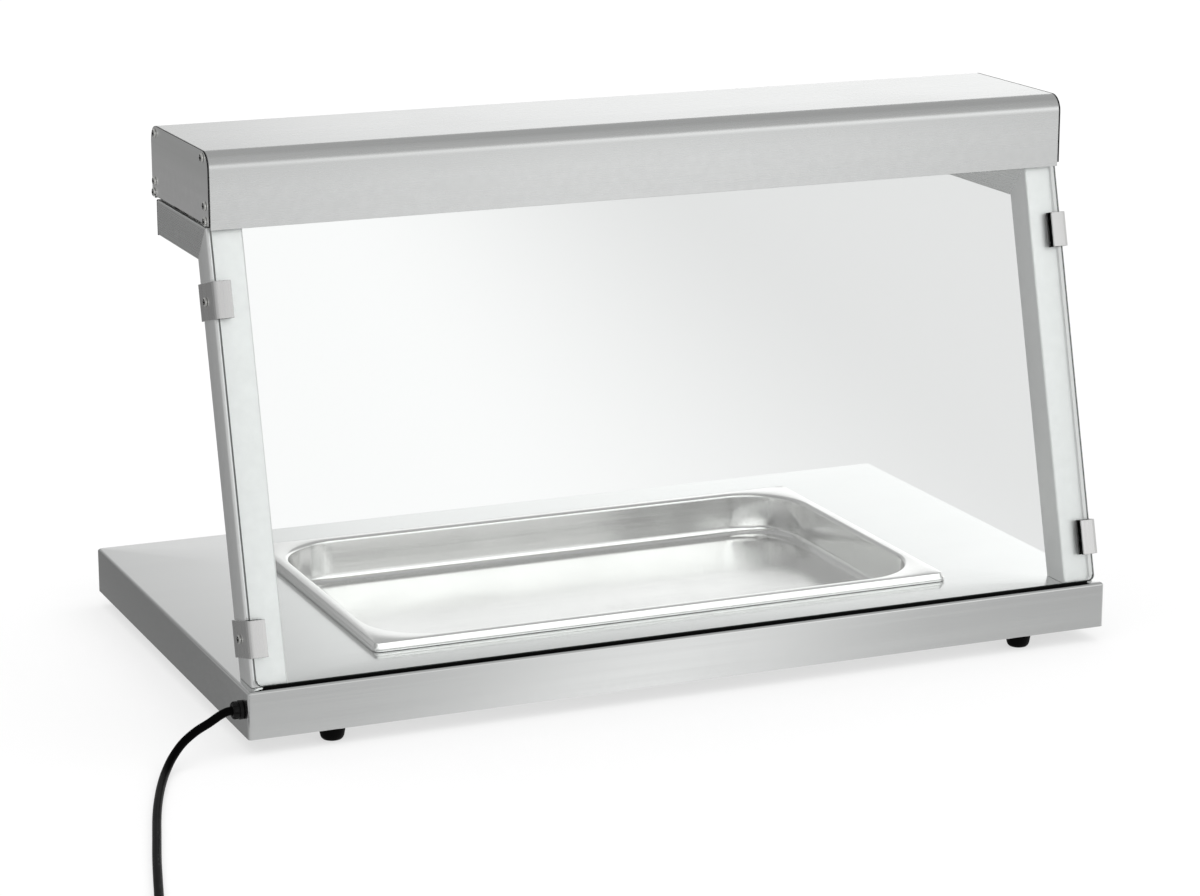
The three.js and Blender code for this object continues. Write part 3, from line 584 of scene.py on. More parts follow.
QUARTER = math.pi / 2
STEEL = (0.74, 0.75, 0.745)
satin_across = steel("satin_steel_across", STEEL, 0.27, spread=0.022, strength=0.018)
satin_deep = steel("satin_steel_deep", STEEL, 0.27, turn=(0, 0, QUARTER))
# The posts' steel is painted lighter than the rest of the sheet: painted light for how brightly they are lit.
post_steel_painted_light = steel("satin_steel_post", (0.84, 0.85, 0.845), 0.42, turn=(LEAN, QUARTER, 0), strength=0.06)
satin_base = steel("satin_steel_base", STEEL, 0.17, spread=0.04)
screw_steel = steel("screw_steel", (0.82, 0.82, 0.8), 0.13, strength=0.01)
# The hood's end plates are painted lighter than the cover: painted light for how brightly they are lit.
end_steel_painted_light = steel("satin_steel_end", (0.9, 0.91, 0.9), 0.34, turn=(0, 0, QUARTER))
# Near-black steel: painted shade on the hood end plates' narrow edges and in the screws' cross recesses.
painted_shade_steel = steel("steel_painted_shade", (0.03, 0.03, 0.03), 0.6)
dull_steel = steel("dull_steel", (0.55, 0.56, 0.55), 0.42)
clip_steel = steel("clip_steel", (0.68, 0.68, 0.675), 0.26, turn=(LEAN, QUARTER, 0), spread=0.05)
pan_steel = steel("pan_steel", (0.84, 0.84, 0.83), 0.16, spread=0.05, smudge=0.06, strength=0.1)
mirror_steel = steel("mirror_steel", (0.86, 0.86, 0.85), 0.06, spread=0.02, smudge=0.03, strength=0.05)
wire_steel = steel("wire_steel", (0.72, 0.72, 0.7), 0.18, spread=0.03, strength=0.05)
brass_pin = steel("nickel_pin", (0.78, 0.74, 0.66), 0.2, spread=0.03, strength=0.05)
rubber = moulded(
    "black_rubber", (0.0015, 0.0015, 0.0015), 0.5, scale=700, strength=0.2, dust=0.001, shine=0.05,
)
black_plastic = moulded("black_plastic", (0.003, 0.003, 0.003), 0.34, strength=0.15, dust=0.003, shine=0.15)
jacket = moulded(
    "cord_jacket", (0.001, 0.001, 0.001), 0.3, scale=1400, strength=0.05, dust=0.0004, shine=0.02,
)
red_plastic = moulded("red_plastic", (0.42, 0.016, 0.012), 0.25, scale=1200, strength=0.05)
white_plastic = moulded("white_plastic", (0.76, 0.75, 0.7), 0.42, dust=-0.05)
ceramic = moulded("ceramic", (0.78, 0.74, 0.64), 0.55, scale=1500, strength=0.3, dust=-0.08)
white_print = moulded("white_print", (0.8, 0.8, 0.78), 0.5, strength=0.05, dust=0.0)
dark_print = moulded("dark_print", (0.03, 0.03, 0.03), 0.5, strength=0.05, dust=0.0)
screen_glass = clear_glass("screen_glass", (0.955, 0.968, 0.963))
# Near-black opaque colour for the pane's edges: painted shade where the glass only looks dark.
screen_edge_painted_shade = moulded(
    "screen_edge_painted_shade", (0.006, 0.012, 0.01), 0.08, scale=300, strength=0.02, coat=0.6, dust=0.004,
)
quartz = clear_glass("quartz", (0.97, 0.93, 0.88), roughness=0.12)
filament = steel("filament", (0.42, 0.4, 0.38), 0.35, strength=0.05)


# ------------------------------------------------------------------ mains cord
CORD = 3.5 * MM
gland_low, gland_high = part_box("cord_gland")
coil_node_centre = (-0.5178, -0.5971)
floor_z = 3.6 * MM
gland_face = gland_low.x
gland_y = (gland_low.y + gland_high.y) / 2
gland_z = (gland_low.z + gland_high.z) / 2
# The cord leaves the gland, droops to the surface and runs forward past the front corner.
cord_route = np.array([
    [-402.6, -209.5, 34.4],
    [-408.5, -210, 32.4],
    [-418, -212.2, 28.2],
    [-430.8, -215.8, 23.5],
    [-442.8, -221, 17.5],
    [-453.9, -230.5, 10.6],
    [-464.8, -247.5, 5.3],
    [-476.7, -275.3, 3.8],
    [-489.1, -309.9, 3.6],
    [-498.3, -338.9, 3.6],
    [-510.1, -379.7, 3.6],
    [-522, -421.3, 3.6],
    [-532.9, -461.8, 3.6],
    [-540.8, -491.8, 3.6],
]) * MM
COIL_PITCH = 7.2 * MM
COIL_RADIUS = 40.3 * MM
COIL_SPREAD = 1.25 * COIL_PITCH
PLUG_Z = 19.2 * MM
STUB = 30 * MM
IN_PLUG = 15.5 * MM


def smooth_route(points, per_span=8):
    """A curve through the points, each span a cubic whose end slopes come from the distances to its
    neighbours, each distance under a square root."""
    ends = np.vstack([2 * points[0] - points[1], points, 2 * points[-1] - points[-2]])
    step = np.sqrt(np.linalg.norm(np.diff(ends, axis=0), axis=1))[:, None]
    p0, p1, p2, p3 = ends[:-3], ends[1:-2], ends[2:-1], ends[3:]
    d0, d1, d2 = step[:-2], step[1:-1], step[2:]
    slope1 = ((p1 - p0) / d0 - (p2 - p0) / (d0 + d1) + (p2 - p1) / d1) * d1
    slope2 = ((p2 - p1) / d1 - (p3 - p1) / (d1 + d2) + (p3 - p2) / d2) * d1
    t = (np.arange(per_span) / per_span)[None, :, None]
    p1, p2, slope1, slope2 = (a[:, None, :] for a in (p1, p2, slope1, slope2))
    made = (
        (2 * t**3 - 3 * t**2 + 1) * p1 + (t**3 - 2 * t**2 + t) * slope1
        + (3 * t**2 - 2 * t**3) * p2 + (t**3 - t**2) * slope2
    )
    return np.vstack([made.reshape(-1, 3), points[-1:]])


def coil_turns(centre, start_angle, per_turn=36):
    """Two and a half turns inwards on the surface, a quarter turn that climbs, and two and a half
    turns outwards on top: the radius changes by one pitch a turn."""
    inwards = np.linspace(0, 2.5, int(2.5 * per_turn) + 1)[:-1]
    climb = np.linspace(0, 1, per_turn // 4 + 1)[:-1]
    outwards = np.linspace(0, 2.5, int(2.5 * per_turn) + 1)
    outer = COIL_RADIUS + COIL_SPREAD
    inner = COIL_RADIUS - COIL_SPREAD
    turns = np.concatenate([inwards, 2.5 + climb / 4, 2.75 + outwards])
    radius = np.concatenate([
        outer - COIL_PITCH * inwards, np.full(len(climb), inner), inner + COIL_PITCH * outwards,
    ])
    rise = climb**2 * (3 - 2 * climb)
    height = np.concatenate([np.zeros(len(inwards)), rise, np.ones(len(outwards))])
    angle = start_angle + turns * 2 * math.pi
    x = centre[0] + radius * np.cos(angle)
    y = centre[1] + radius * np.sin(angle)
    return np.column_stack([x, y, floor_z + COIL_PITCH * height]), angle[-1]


def cord_line():
    """The whole centre line: out of the gland, down to the surface, the coil, and into the plug."""
    start = np.array([[gland_face - 0.6 * MM, gland_y, gland_z]])
    centre = np.array(coil_node_centre)
    turns, last_angle = coil_turns(centre, math.radians(165.2))
    route = smooth_route(np.vstack([start, cord_route, turns[:1]]))
    heading = np.array([-math.sin(last_angle), math.cos(last_angle), 0])
    share = np.linspace(0, 1, 7)[1:, None]
    climb = np.array([0, 0, PLUG_Z - turns[-1, 2]]) * (share**2 * (3 - 2 * share))
    tail = turns[-1] + heading * STUB * share + climb
    held = tail[-1] + heading * IN_PLUG
    return np.vstack([route[:-1], turns, tail, held]), heading, turns[-1]


def make_cord():
    """The cord's line as a curve with a round section, in place of the cord and its coil."""
    line, heading, leaving = cord_line()
    curve = bpy.data.curves.new("mains_cord", "CURVE")
    curve.dimensions = "3D"
    spline = curve.splines.new("POLY")
    spline.points.add(len(line) - 1)
    spline.points.foreach_set("co", np.column_stack([line, np.ones(len(line))]).ravel())
    curve.bevel_depth = CORD
    curve.bevel_resolution = 6
    curve.use_fill_caps = True
    curve.materials.append(jacket)
    cord = bpy.data.objects.new("mains_cord", curve)
    bpy.context.scene.collection.objects.link(cord)
    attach(cord, CASE)
    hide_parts("cord", "cord_coil")
    return cord, heading, leaving


def make_plug(heading, leaving):
    """A round two-pin plug: a turned grip with ribs on its tail, two pins and two side contacts."""
    start = np.array([*(leaving + heading * (STUB + 1.3 * MM))[:2], PLUG_Z])
    tail_length, body_length = 34 * MM, 36 * MM
    along = np.linspace(0, tail_length, 69)
    share = along / tail_length
    ribs = 0.9 * MM * (np.cos(share * 2 * math.pi * 7) > 0.1) * (share > 0.08) * (share < 0.92)
    tail = np.column_stack([(4.6 + 2.6 * share) * MM + ribs, along])
    body = np.array([
        [13.2, 35.2], [14.6, 36], [16.2, 39], [17.4, 44], [18.0, 50], [18.2, 55], [18.2, 66], [18.1, 68],
        [17.8, 69.5], [17.2, 70], [15.4, 70], [15.2, 69.4], [0, 69.4],
    ]) * MM
    shape = placed(turned(np.vstack([[[0, 0]], tail, body]), 48), start, heading)
    plug = piece_of("plug_moulding", shape, black_plastic, replaces="mains_plug", sharp=40)
    across = np.array([-heading[1], heading[0], 0])
    up = np.array([0, 0, 1.0])
    face = start + heading * (tail_length + body_length - 0.8 * MM)
    collar = np.array([[0, 0], [3.4, 0], [3.4, 1.1], [2.9, 1.6], [0, 1.6]]) * MM
    pins, collars = [], []
    for side in (-1, 1):
        root = face + across * side * 9.5 * MM
        pins.append(bar(root, root + heading * 19.4 * MM, 2.4 * MM))
        collars.append(placed(turned(collar, 24), root, heading))
    made = [plug, piece_of("plug_pins", pins, brass_pin)]
    made.append(piece_of("plug_pin_collars", collars, black_plastic))
    contacts = []
    for side in (-1, 1):
        middle = start + heading * 61 * MM + up * side * 17.6 * MM
        half = across * 2.6 * MM
        length = heading * 7 * MM
        depth = up * side * 1.3 * MM
        corners = [middle + a * half + b * length + c * depth
                   for c in (-1, 1) for a, b in ((-1, -1), (1, -1), (1, 1), (-1, 1))]
        contacts.append((np.array(corners), block((0, 0, 0), (1, 1, 1))[1]))
    made.append(piece_of("plug_earth_contacts", contacts, brass_pin, edge=0.3 * MM))
    return made


def make_gland():
    """A turned collar with a notched front ring: eight cuts round its rim, and a soft throat."""
    sides = 96
    outside = -base_low.x
    profile = np.array([
        [0, -5], [5.4, -5], [5.4, 0.35], [7.3, 0.35], [7.75, 0.8], [7.75, 3.1], [7.4, 3.5], [6.6, 3.7],
        [6.6, 4.3], [7.2, 4.6], [7.3, 7.4], [6.7, 8.3], [5.6, 8.9], [4.4, 8.9], [3.9, 8.2], [3.7, 6], [0, 6],
    ]) * MM
    points, faces = turned(profile, sides)
    angle = np.arctan2(points[:, 1], points[:, 0])
    radius = np.hypot(points[:, 0], points[:, 1])
    notch = (np.cos(angle * 8) > 0.55) & (points[:, 2] > 4.4 * MM) & (radius > 5 * MM)
    shrink = np.where(notch, 0.9, 1.0)[:, None]
    points = points * np.hstack([shrink, shrink, np.ones_like(shrink)])
    shape = placed((points, faces), (-outside, gland_y, gland_z), (-1, 0, 0))
    return piece_of(
        "gland_collar", shape, black_plastic, replaces="cord_gland", sharp=40,
    )


cord, cord_heading, cord_leaving = make_cord()
plug_pieces = make_plug(cord_heading, cord_leaving)
gland = make_gland()


# ------------------------------------------------------------------ base
BEND = 2.5 * MM
well_middle = (pan_low + pan_high) / 2
FLANGE = 13.5 * MM
WELL_RADIUS = 57 * MM
pan_width = pan_high.x - pan_low.x
pan_depth = pan_high.y - pan_low.y
well_width = pan_width - 2 * FLANGE
well_depth = pan_depth - 2 * FLANGE


def make_base():
    """The folded tray: one line of rounded rectangles from the skirt's lower edge up the outside,
    round the bend, over the top and down into the cut-out, then back under it by the sheet."""
    width, depth = base_high.x - base_low.x, base_high.y - base_low.y
    low, top = base_low.z, base_high.z
    turn = np.radians(np.linspace(0, 90, 9))
    inset = BEND * (1 - np.cos(turn))
    bend = [(width - 2 * i, depth - 2 * i, BEND, top - BEND + BEND * s) for i, s in zip(inset, np.sin(turn))]
    open_width, open_depth, open_radius = well_width + 6 * MM, well_depth + 6 * MM, WELL_RADIUS + 3 * MM
    outside = [(width, depth, BEND, low + 0.2 * MM), *bend]
    lip = 0.3 * MM
    inside_bend = BEND - SHEET
    rows = []

    def loop(w, d, r, z, centre):
        """One rounded rectangle at a level."""
        line = rounded_loop(w, d, r, 12) + np.asarray(centre)
        rows.append(np.column_stack([line, np.full(len(line), z)]))

    middle = (well_middle.x, well_middle.y)
    loop(width - 2 * SHEET, depth - 2 * SHEET, inside_bend, low, (0, 0))
    loop(width - 2 * lip, depth - 2 * lip, BEND - lip, low, (0, 0))
    for row in outside:
        loop(*row, (0, 0))
    loop(open_width + 2 * lip, open_depth + 2 * lip, open_radius, top, middle)
    loop(open_width, open_depth, open_radius, top - lip, middle)
    loop(open_width, open_depth, open_radius, top - SHEET, middle)
    loop(width - 2 * SHEET, depth - 2 * SHEET, inside_bend, top - SHEET, (0, 0))
    grid_rows = np.array(rows)
    loops, steps = grid_rows.shape[:2]
    faces = grid(loops, steps, closed_rows=True, closed_columns=True).tolist()
    points = grid_rows.reshape(-1, 3)
    return piece_of(
        "base_tray", (points, faces), satin_base, replaces="base_shell", sharp=30,
    )


def make_foot(node):
    """A turned rubber foot that narrows to a soft rounded sole."""
    low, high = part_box(node)
    height = (high.z - low.z) / MM
    radius = (high.x - low.x) / 2 / MM
    profile = np.array([
        [0, 0.4], [5.2, 0.4], [5.8, 0], [6.6, 0], [radius - 3.1, 0.5], [radius - 2, 1.6], [radius - 1.3, 3.2],
        [radius - 0.7, 6], [radius - 0.1, height - 3], [radius - 0.1, height - 0.4], [radius - 0.5, height],
        [0, height],
    ]) * MM
    centre = ((low.x + high.x) / 2, (low.y + high.y) / 2, low.z)
    shape = placed(turned(profile, 40), centre, (0, 0, 1))
    return piece_of("rubber_" + node, shape, rubber, replaces=node, sharp=40)


make_base()
dress("base_bottom_plate", dull_steel)
for row in ("front", "rear"):
    for hand in ("left", "right"):
        make_foot(f"foot_{row}_{hand}")
for hand in ("left", "right"):
    dress(f"post_plate_{hand}", dull_steel)
dress("terminal_block", white_plastic)
dress("lamp_lead", jacket)


# ------------------------------------------------------------------ food pan
def make_pan():
    """A pressed pan: rounded rectangles from under the rim's rolled lip, over its stepped flange and
    down the drafted wall to the rounded floor, then back up the outside by the sheet's thickness."""
    wall = 0.9 * MM
    top = pan_high.z
    floor = pan_low.z
    edge_radius = 8 * MM
    middle = (well_middle.x, well_middle.y)

    def around(inset, z, radius):
        """A rounded rectangle set in from the pan's outer edge."""
        return (pan_width - 2 * inset, pan_depth - 2 * inset, radius, z)

    rim = [
        around(1.4 * MM, top - 6.9 * MM, edge_radius - 1.4 * MM),
        around(0.5 * MM, top - 7.0 * MM, edge_radius - 0.5 * MM),
        around(0.1 * MM, top - 6.7 * MM, edge_radius - 0.1 * MM),
        around(0.0 * MM, top - 6.2 * MM, edge_radius),
        around(0.0 * MM, top - 4.6 * MM, edge_radius),
        around(0.3 * MM, top - 4.1 * MM, edge_radius - 0.3 * MM),
        around(1.2 * MM, top - 3.6 * MM, edge_radius - 1.2 * MM),
        around(1.6 * MM, top - 3.0 * MM, edge_radius - 1.6 * MM),
        around(2.3 * MM, top - 0.7 * MM, edge_radius - 2.3 * MM),
        around(2.7 * MM, top - 0.2 * MM, edge_radius - 2.7 * MM),
        around(3.4 * MM, top, edge_radius - 3.4 * MM),
    ]
    shoulder = 3.2 * MM
    turn = np.radians(np.linspace(0, 88, 7))
    flange_end = FLANGE - shoulder
    over = []
    for angle in turn:
        inset = flange_end + shoulder * math.sin(angle)
        radius = WELL_RADIUS + FLANGE - inset
        over.append(around(inset, top - shoulder * (1 - math.cos(angle)), radius))
    floor_round = 9 * MM
    draft = 1.5 * MM
    wall_low = floor + wall + floor_round
    down = [around(FLANGE + draft * 0.9, wall_low, WELL_RADIUS - draft)]
    turn = np.radians(np.linspace(0, 90, 9))[1:]
    for angle in turn:
        inset = FLANGE + draft + floor_round * (1 - math.cos(angle))
        down.append(around(inset, wall_low - floor_round * math.sin(angle), WELL_RADIUS - floor_round * 0.6))
    inside = rim + over + down
    last = inside[-1]
    inside.append((last[0] - 0.2, last[1] - 0.12, 0.03, floor + wall + 0.4 * MM))
    skin = stacked(inside, middle, steps=16)
    pan = piece_of("pressed_pan", skin, pan_steel, PAN, "food_pan", sharp=50)
    shell = pan.modifiers.new("sheet", "SOLIDIFY")
    shell.thickness = 0.6 * MM
    shell.offset = -1
    return pan


make_pan()


# ------------------------------------------------------------------ posts and arms
def cut_tube(section, origin, directions, start_plane, end_plane):
    """A straight tube of the given section between two slanted planes, each a point and a normal.
    Where a corner's line meets a plane, the distance is the plane's offset over the direction's
    share of its normal."""
    across, beside, along = (np.asarray(d, float) for d in directions)
    corners = np.asarray(origin, float) + section[:, :1] * across + section[:, 1:] * beside
    rows = []
    for point, normal in (start_plane, end_plane):
        normal = np.asarray(normal, float)
        distance = ((np.asarray(point, float) - corners) @ normal) / (along @ normal)
        rows.append(corners + distance[:, None] * along)
    return lofted(rows)


TUBE_EDGE = 2.0 * MM
UP_POST = np.array([0, math.sin(LEAN), math.cos(LEAN)])
OUT_OF_POST = np.array([0, -math.cos(LEAN), math.sin(LEAN)])
ACROSS = np.array([1.0, 0, 0])


def make_frame_side(hand, side):
    """A post and its arm: the same rounded square, cut where their outer and inner corners meet."""
    post_box, arm_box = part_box(f"post_{hand}"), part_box(f"arm_{hand}")
    x = side * (frame_half - tube_size / 2)
    top, bottom = arm_box[1].z, arm_box[0].z
    corner = np.array([0, post_front(top), top])
    knee = np.array([0, post_front(bottom) + tube_size / math.cos(LEAN), bottom])
    diagonal = knee - corner
    mitre = np.array([0, diagonal[2], -diagonal[1]])
    section = rounded_loop(tube_size, tube_size, TUBE_EDGE, 6)
    foot = (np.array([0, 0, post_box[0].z]), (0, 0, 1))
    centre = screen_origin - OUT_OF_POST * tube_size / 2 + ACROSS * x
    post = cut_tube(section, centre, (ACROSS, OUT_OF_POST, UP_POST), foot, (corner, mitre))
    piece_of(f"post_tube_{hand}", post, post_steel_painted_light, replaces=f"post_{hand}", sharp=30)
    middle = np.array([x, 0, (top + bottom) / 2])
    rear = (np.array([0, arm_box[1].y, 0]), (0, 1, 0))
    upright = np.array([0, 0, 1.0])
    backwards = np.array([0, 1.0, 0])
    arm = cut_tube(section, middle, (ACROSS, upright, backwards), (corner, mitre), rear)
    piece_of(f"arm_tube_{hand}", arm, satin_deep, replaces=f"arm_{hand}", sharp=30)
    refined(f"arm_cap_{hand}", f"arm_plug_{hand}", black_plastic, 0.8 * MM)


for hand, side in (("left", -1), ("right", 1)):
    make_frame_side(hand, side)


# ------------------------------------------------------------------ glass screen and clips
GLASS = 6 * MM
STANDOFF = 2 * MM


def make_glass():
    """A flat pane with rounded corners: its outline at the two faces is drawn in by the width of the
    polished edge, and full between them."""
    low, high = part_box("glass_pane")
    half = high.x
    polish = 0.5 * MM
    sine, cosine = math.sin(LEAN), math.cos(LEAN)
    bottom = (low.z - base_top - STANDOFF * sine) / cosine
    top = (high.z - base_top - (STANDOFF + GLASS) * sine) / cosine
    rows = []
    for inset, out in ((polish, 0), (0, polish), (0, GLASS - polish), (polish, GLASS)):
        line = rounded_loop(2 * (half - inset), top - bottom - 2 * inset, 5 * MM - inset, 8)
        up = line[:, 1] + (top + bottom) / 2
        rows.append(on_screen(np.column_stack([line[:, 0], up, np.full(len(line), STANDOFF + out)])))
    pane = piece_of(
        "glass_screen", lofted(rows), screen_glass, replaces="glass_pane", sharp=20,
    )

    def painted_shade_edge(normal, middle):
        """The faces that look along the pane, and all of its lowest edge: they get painted shade, a
        near-black opaque colour where the glass only looks dark.
        """
        lowest = middle[:, 2] < low.z + 6 * MM
        return abs(normal @ OUT_OF_POST) < np.where(lowest, 0.9, 0.3)

    # The pane's edges and lowest band get painted shade.
    second_material(pane, screen_edge_painted_shade, painted_shade_edge)
    return pane


def make_shadow_gap_strip():
    """A soft black strip under the pane's lower edge, a dark part put in the shaded gap there: painted shade.
    It is a wedge between that edge and the base's top, carried from one post to the other and rounded by its
    bevel."""
    low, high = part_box("glass_pane")
    pane_foot = (low.z - base_top - STANDOFF * math.sin(LEAN)) / math.cos(LEAN)
    back, front = STANDOFF + 0.3 * MM, STANDOFF + GLASS / 2
    gap = 0.06 * MM
    section = [(front, -front * math.tan(LEAN) + gap), (front, pane_foot - gap), (back, pane_foot - gap),
               (back, -back * math.tan(LEAN) + gap)]
    half = high.x - 6 * MM
    rows = [on_screen([(x, up, out) for out, up in section]) for x in (-half, half)]
    piece_of("shadow_gap_strip", lofted(rows), rubber, edge=0.15 * MM, sharp=20)


CLIP = {"sheet": 1.5 * MM, "bend": 4 * MM, "lip": 15 * MM, "front": 12 * MM, "tall": 30 * MM}


def make_clip(row, hand, side):
    """Bent sheet: a lip over the glass's face, a bend of a quarter circle and a leg along the post,
    carried up the post. Its free corners are rounded by the bevel."""
    node = f"clip_{row}_{hand}"
    low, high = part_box(node)
    outer = max(abs(low.x), abs(high.x))
    start = (high.z - base_top - CLIP["front"] * math.sin(LEAN)) / math.cos(LEAN) - CLIP["tall"]
    bend = arc((outer - CLIP["bend"], CLIP["front"] - CLIP["bend"]), CLIP["bend"], 90, 0, 12)
    line = np.vstack([[[outer - CLIP["lip"], CLIP["front"]]], bend, [[outer, -tube_size]]])

    def place(points):
        """The clip's line turned to its side and laid on the screen."""
        return on_screen(np.column_stack([side * points[:, 1], points[:, 0], points[:, 2]]))

    shape = folded_sheet(line, CLIP["sheet"], start, start + CLIP["tall"], place)
    piece_of(f"bent_{node}", shape, clip_steel, replaces=node, edge=0.35 * MM)


def screw_head(radius=3.7 * MM, height=2.4 * MM):
    """A domed head with a cross cut into it: height falls with the power of the radius, and the
    cross is the larger of two tapered slots at right angles."""
    ring = np.linspace(0, 1, 15)[:, None] * radius
    angle = np.arange(48)[None, :] * 2 * math.pi / 48
    u, v = ring * np.cos(angle), ring * np.sin(angle)
    dome = height * (1 - 0.42 * (ring / radius) ** 2.4) * np.ones_like(u)

    def slot(first, second):
        """One slot of the cross, as deep as its width and its length both allow."""
        narrow = np.clip((0.8 * MM - abs(first)) / (0.2 * MM), 0, 1)
        short = np.clip((2.6 * MM - abs(second)) / (0.7 * MM), 0, 1)
        return narrow * short

    depth = 1.3 * MM * np.maximum(slot(u, v), slot(v, u))
    top = np.stack([u, v, dome - depth], -1)[::-1]
    wall = np.stack([u[-1:] * 0.99, v[-1:] * 0.99, np.full_like(u[-1:], 0.3 * MM)], -1)
    rows = np.concatenate([wall, top])
    return rows.reshape(-1, 3), grid(len(rows), 48, closed_columns=True).tolist()


def make_screw(node, seat, axis):
    """A pan-head screw: its head outside, and its shank in the hole."""
    shank = turned(np.array([[0, -8], [1.9, -7.4], [1.9, 0.4], [0, 0.4]]) * MM, 16)
    shapes = [placed(screw_head(), seat, axis), placed(shank, seat, axis)]
    screw = piece_of(f"cross_{node}", shapes, screw_steel, replaces=node, sharp=50)

    def recess(normal, middle):
        """The faces of the cross, inside the head: they get painted shade."""
        away = middle - np.asarray(seat)
        height = away @ np.asarray(axis, float)
        from_axis = np.hypot(away[:, 1], away[:, 2])
        return (height > 0.3 * MM) & (height < 2.1 * MM) & (from_axis < 2.6 * MM)

    # The cross is painted dark: painted shade in the recess.
    second_material(screw, painted_shade_steel, recess)


make_glass()
make_shadow_gap_strip()
for hand, side in (("left", -1), ("right", 1)):
    for row in ("lower", "upper"):
        make_clip(row, hand, side)
        refined(f"clip_pad_{row}_{hand}", f"rubber_pad_{row}_{hand}", rubber, 0.25 * MM)
        low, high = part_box(f"clip_screw_{row}_{hand}")
        clip_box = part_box(f"clip_{row}_{hand}")
        seat_x = clip_box[0].x if side < 0 else clip_box[1].x
        seat = (seat_x, (low.y + high.y) / 2, (low.z + high.z) / 2)
        make_screw(f"clip_screw_{row}_{hand}", seat, (side, 0, 0))


# ------------------------------------------------------------------ hood
HOOD_BEND = 14 * MM


def hood_line(front, back, low_front, low_back, steps=14):
    """Up the front, round a quarter circle, over the top, round another and down the back."""
    top = hood_high.z
    return np.vstack([
        [[front, low_front]],
        arc((front + HOOD_BEND, top - HOOD_BEND), HOOD_BEND, 180, 90, steps),
        arc((back - HOOD_BEND, top - HOOD_BEND), HOOD_BEND, 90, 0, steps),
        [[back, low_back]],
    ])


def make_hood():
    """The cover is the hood's line folded in sheet; each end is that line between two faces."""
    line = hood_line(hood_low.y, hood_high.y, hood_low.z, hood_low.z)
    cover = folded_sheet(line, SHEET, hood_low.x, hood_high.x)
    piece_of(
        "hood_sheet", cover, satin_across, replaces="hood_cover",
        edge=0.25 * MM, sharp=30,
    )
    for hand, side in (("left", -1), ("right", 1)):
        node = f"hood_end_{hand}"
        low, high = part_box(node)
        outline = hood_line(low.y, high.y, low.z, low.z)
        rows = [np.column_stack([np.full(len(outline), x), outline]) for x in (low.x, high.x)]
        plate = piece_of(f"hood_side_{hand}", lofted(rows), end_steel_painted_light, replaces=node,
                         edge=0.2 * MM, sharp=30)
        # The end plate's narrow edge faces get painted shade.
        second_material(plate, painted_shade_steel, lambda normal, middle: abs(normal[:, 0]) < 0.5)
        for row in ("front", "rear"):
            for level in ("top", "middle", "low"):
                screw = f"end_screw_{row}_{level}_{hand}"
                screw_low, screw_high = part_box(screw)
                seat = (side * frame_half, (screw_low.y + screw_high.y) / 2, (screw_low.z + screw_high.z) / 2)
                make_screw(screw, seat, (side, 0, 0))


def make_reflector():
    """The polished tray: a flat flange, a trough with sloping sides, and a flat flange."""
    slope, mouth = 14 * MM, 78 * MM
    start = hood_low.y + 27 * MM
    low, high = tray_low.z, tray_high.z
    line = softened([
        (tray_low.y, low), (start, low), (start + slope, high), (start + mouth - slope, high),
        (start + mouth, low), (tray_high.y, low),
    ], 4 * MM)[::-1]
    sheet = folded_sheet(line, 1.0 * MM, tray_low.x, tray_high.x)
    piece_of("reflector_tray", sheet, mirror_steel, replaces="hood_reflector",
             edge=0.2 * MM, sharp=30)


def make_lamp(hand):
    """A quartz tube with a coiled filament on its axis, held by small discs, and a cap at each end."""
    low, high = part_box(f"heat_lamp_{hand}")
    y, z = (low.y + high.y) / 2, (low.z + high.z) / 2
    cap = 7 * MM
    inner = np.array([low.x + cap, y, z])
    length = high.x - low.x - 2 * cap
    end = length / MM
    profile = np.array([[4.0, 0], [4.6, 0], [5, 0.6], [5, end - 0.6], [4.6, end], [4.0, end]]) * MM
    rows, _ = turned(profile, 40)
    tube = (rows, grid(len(profile), 40, closed_rows=True, closed_columns=True).tolist())
    piece_of(f"quartz_tube_{hand}", placed(tube, inner, ACROSS), quartz,
             replaces=f"heat_lamp_{hand}", sharp=30)
    turns = 90
    share = np.linspace(0, 1, turns * 8 + 1)
    angle = share * turns * 2 * math.pi
    margin = 8 * MM
    helix = np.column_stack([
        low.x + cap + margin + share * (length - 2 * margin),
        y + 1.3 * MM * np.cos(angle), z + 1.3 * MM * np.sin(angle),
    ])
    piece_of(f"filament_{hand}", tube_path(helix, 0.22 * MM, 5), filament, sharp=60)
    discs = [placed(turned(np.array([[1.6, 0], [3.9, 0], [3.9, 0.5], [1.6, 0.5], [1.6, 0]]) * MM, 20),
                    (low.x + cap + length * part, y, z), ACROSS) for part in (0.2, 0.4, 0.6, 0.8)]
    piece_of(f"filament_discs_{hand}", discs, dull_steel)
    cap_line = np.array([[0, 0], [3.9, 0], [3.9, 3], [4.15, 3.2], [4.15, 9.4], [3.6, 10], [0, 10]]) * MM
    caps = []
    for x, axis in ((low.x + cap + 3 * MM, -1), (high.x - cap - 3 * MM, 1)):
        caps.append(placed(turned(cap_line, 32), (x, y, z), (axis, 0, 0)))
    piece_of(f"lamp_caps_{hand}", caps, ceramic)


def make_guard():
    """Two long wires and the cross wires welded to them, all with domed ends."""
    low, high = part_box("lamp_guard")
    radius = 1.5 * MM
    z = (low.z + high.z) / 2
    front, rear = low.y + radius, high.y - radius
    pitch = 40 * MM
    wires = [bar((low.x, y, z), (high.x, y, z), radius) for y in (front, rear)]
    span = int((high.x - radius) / pitch)
    for i in range(-span, span + 1):
        wires.append(bar((i * pitch, low.y, z - 0.3 * MM), (i * pitch, high.y, z - 0.3 * MM), radius))
    piece_of("guard_wires", wires, wire_steel, replaces="lamp_guard")


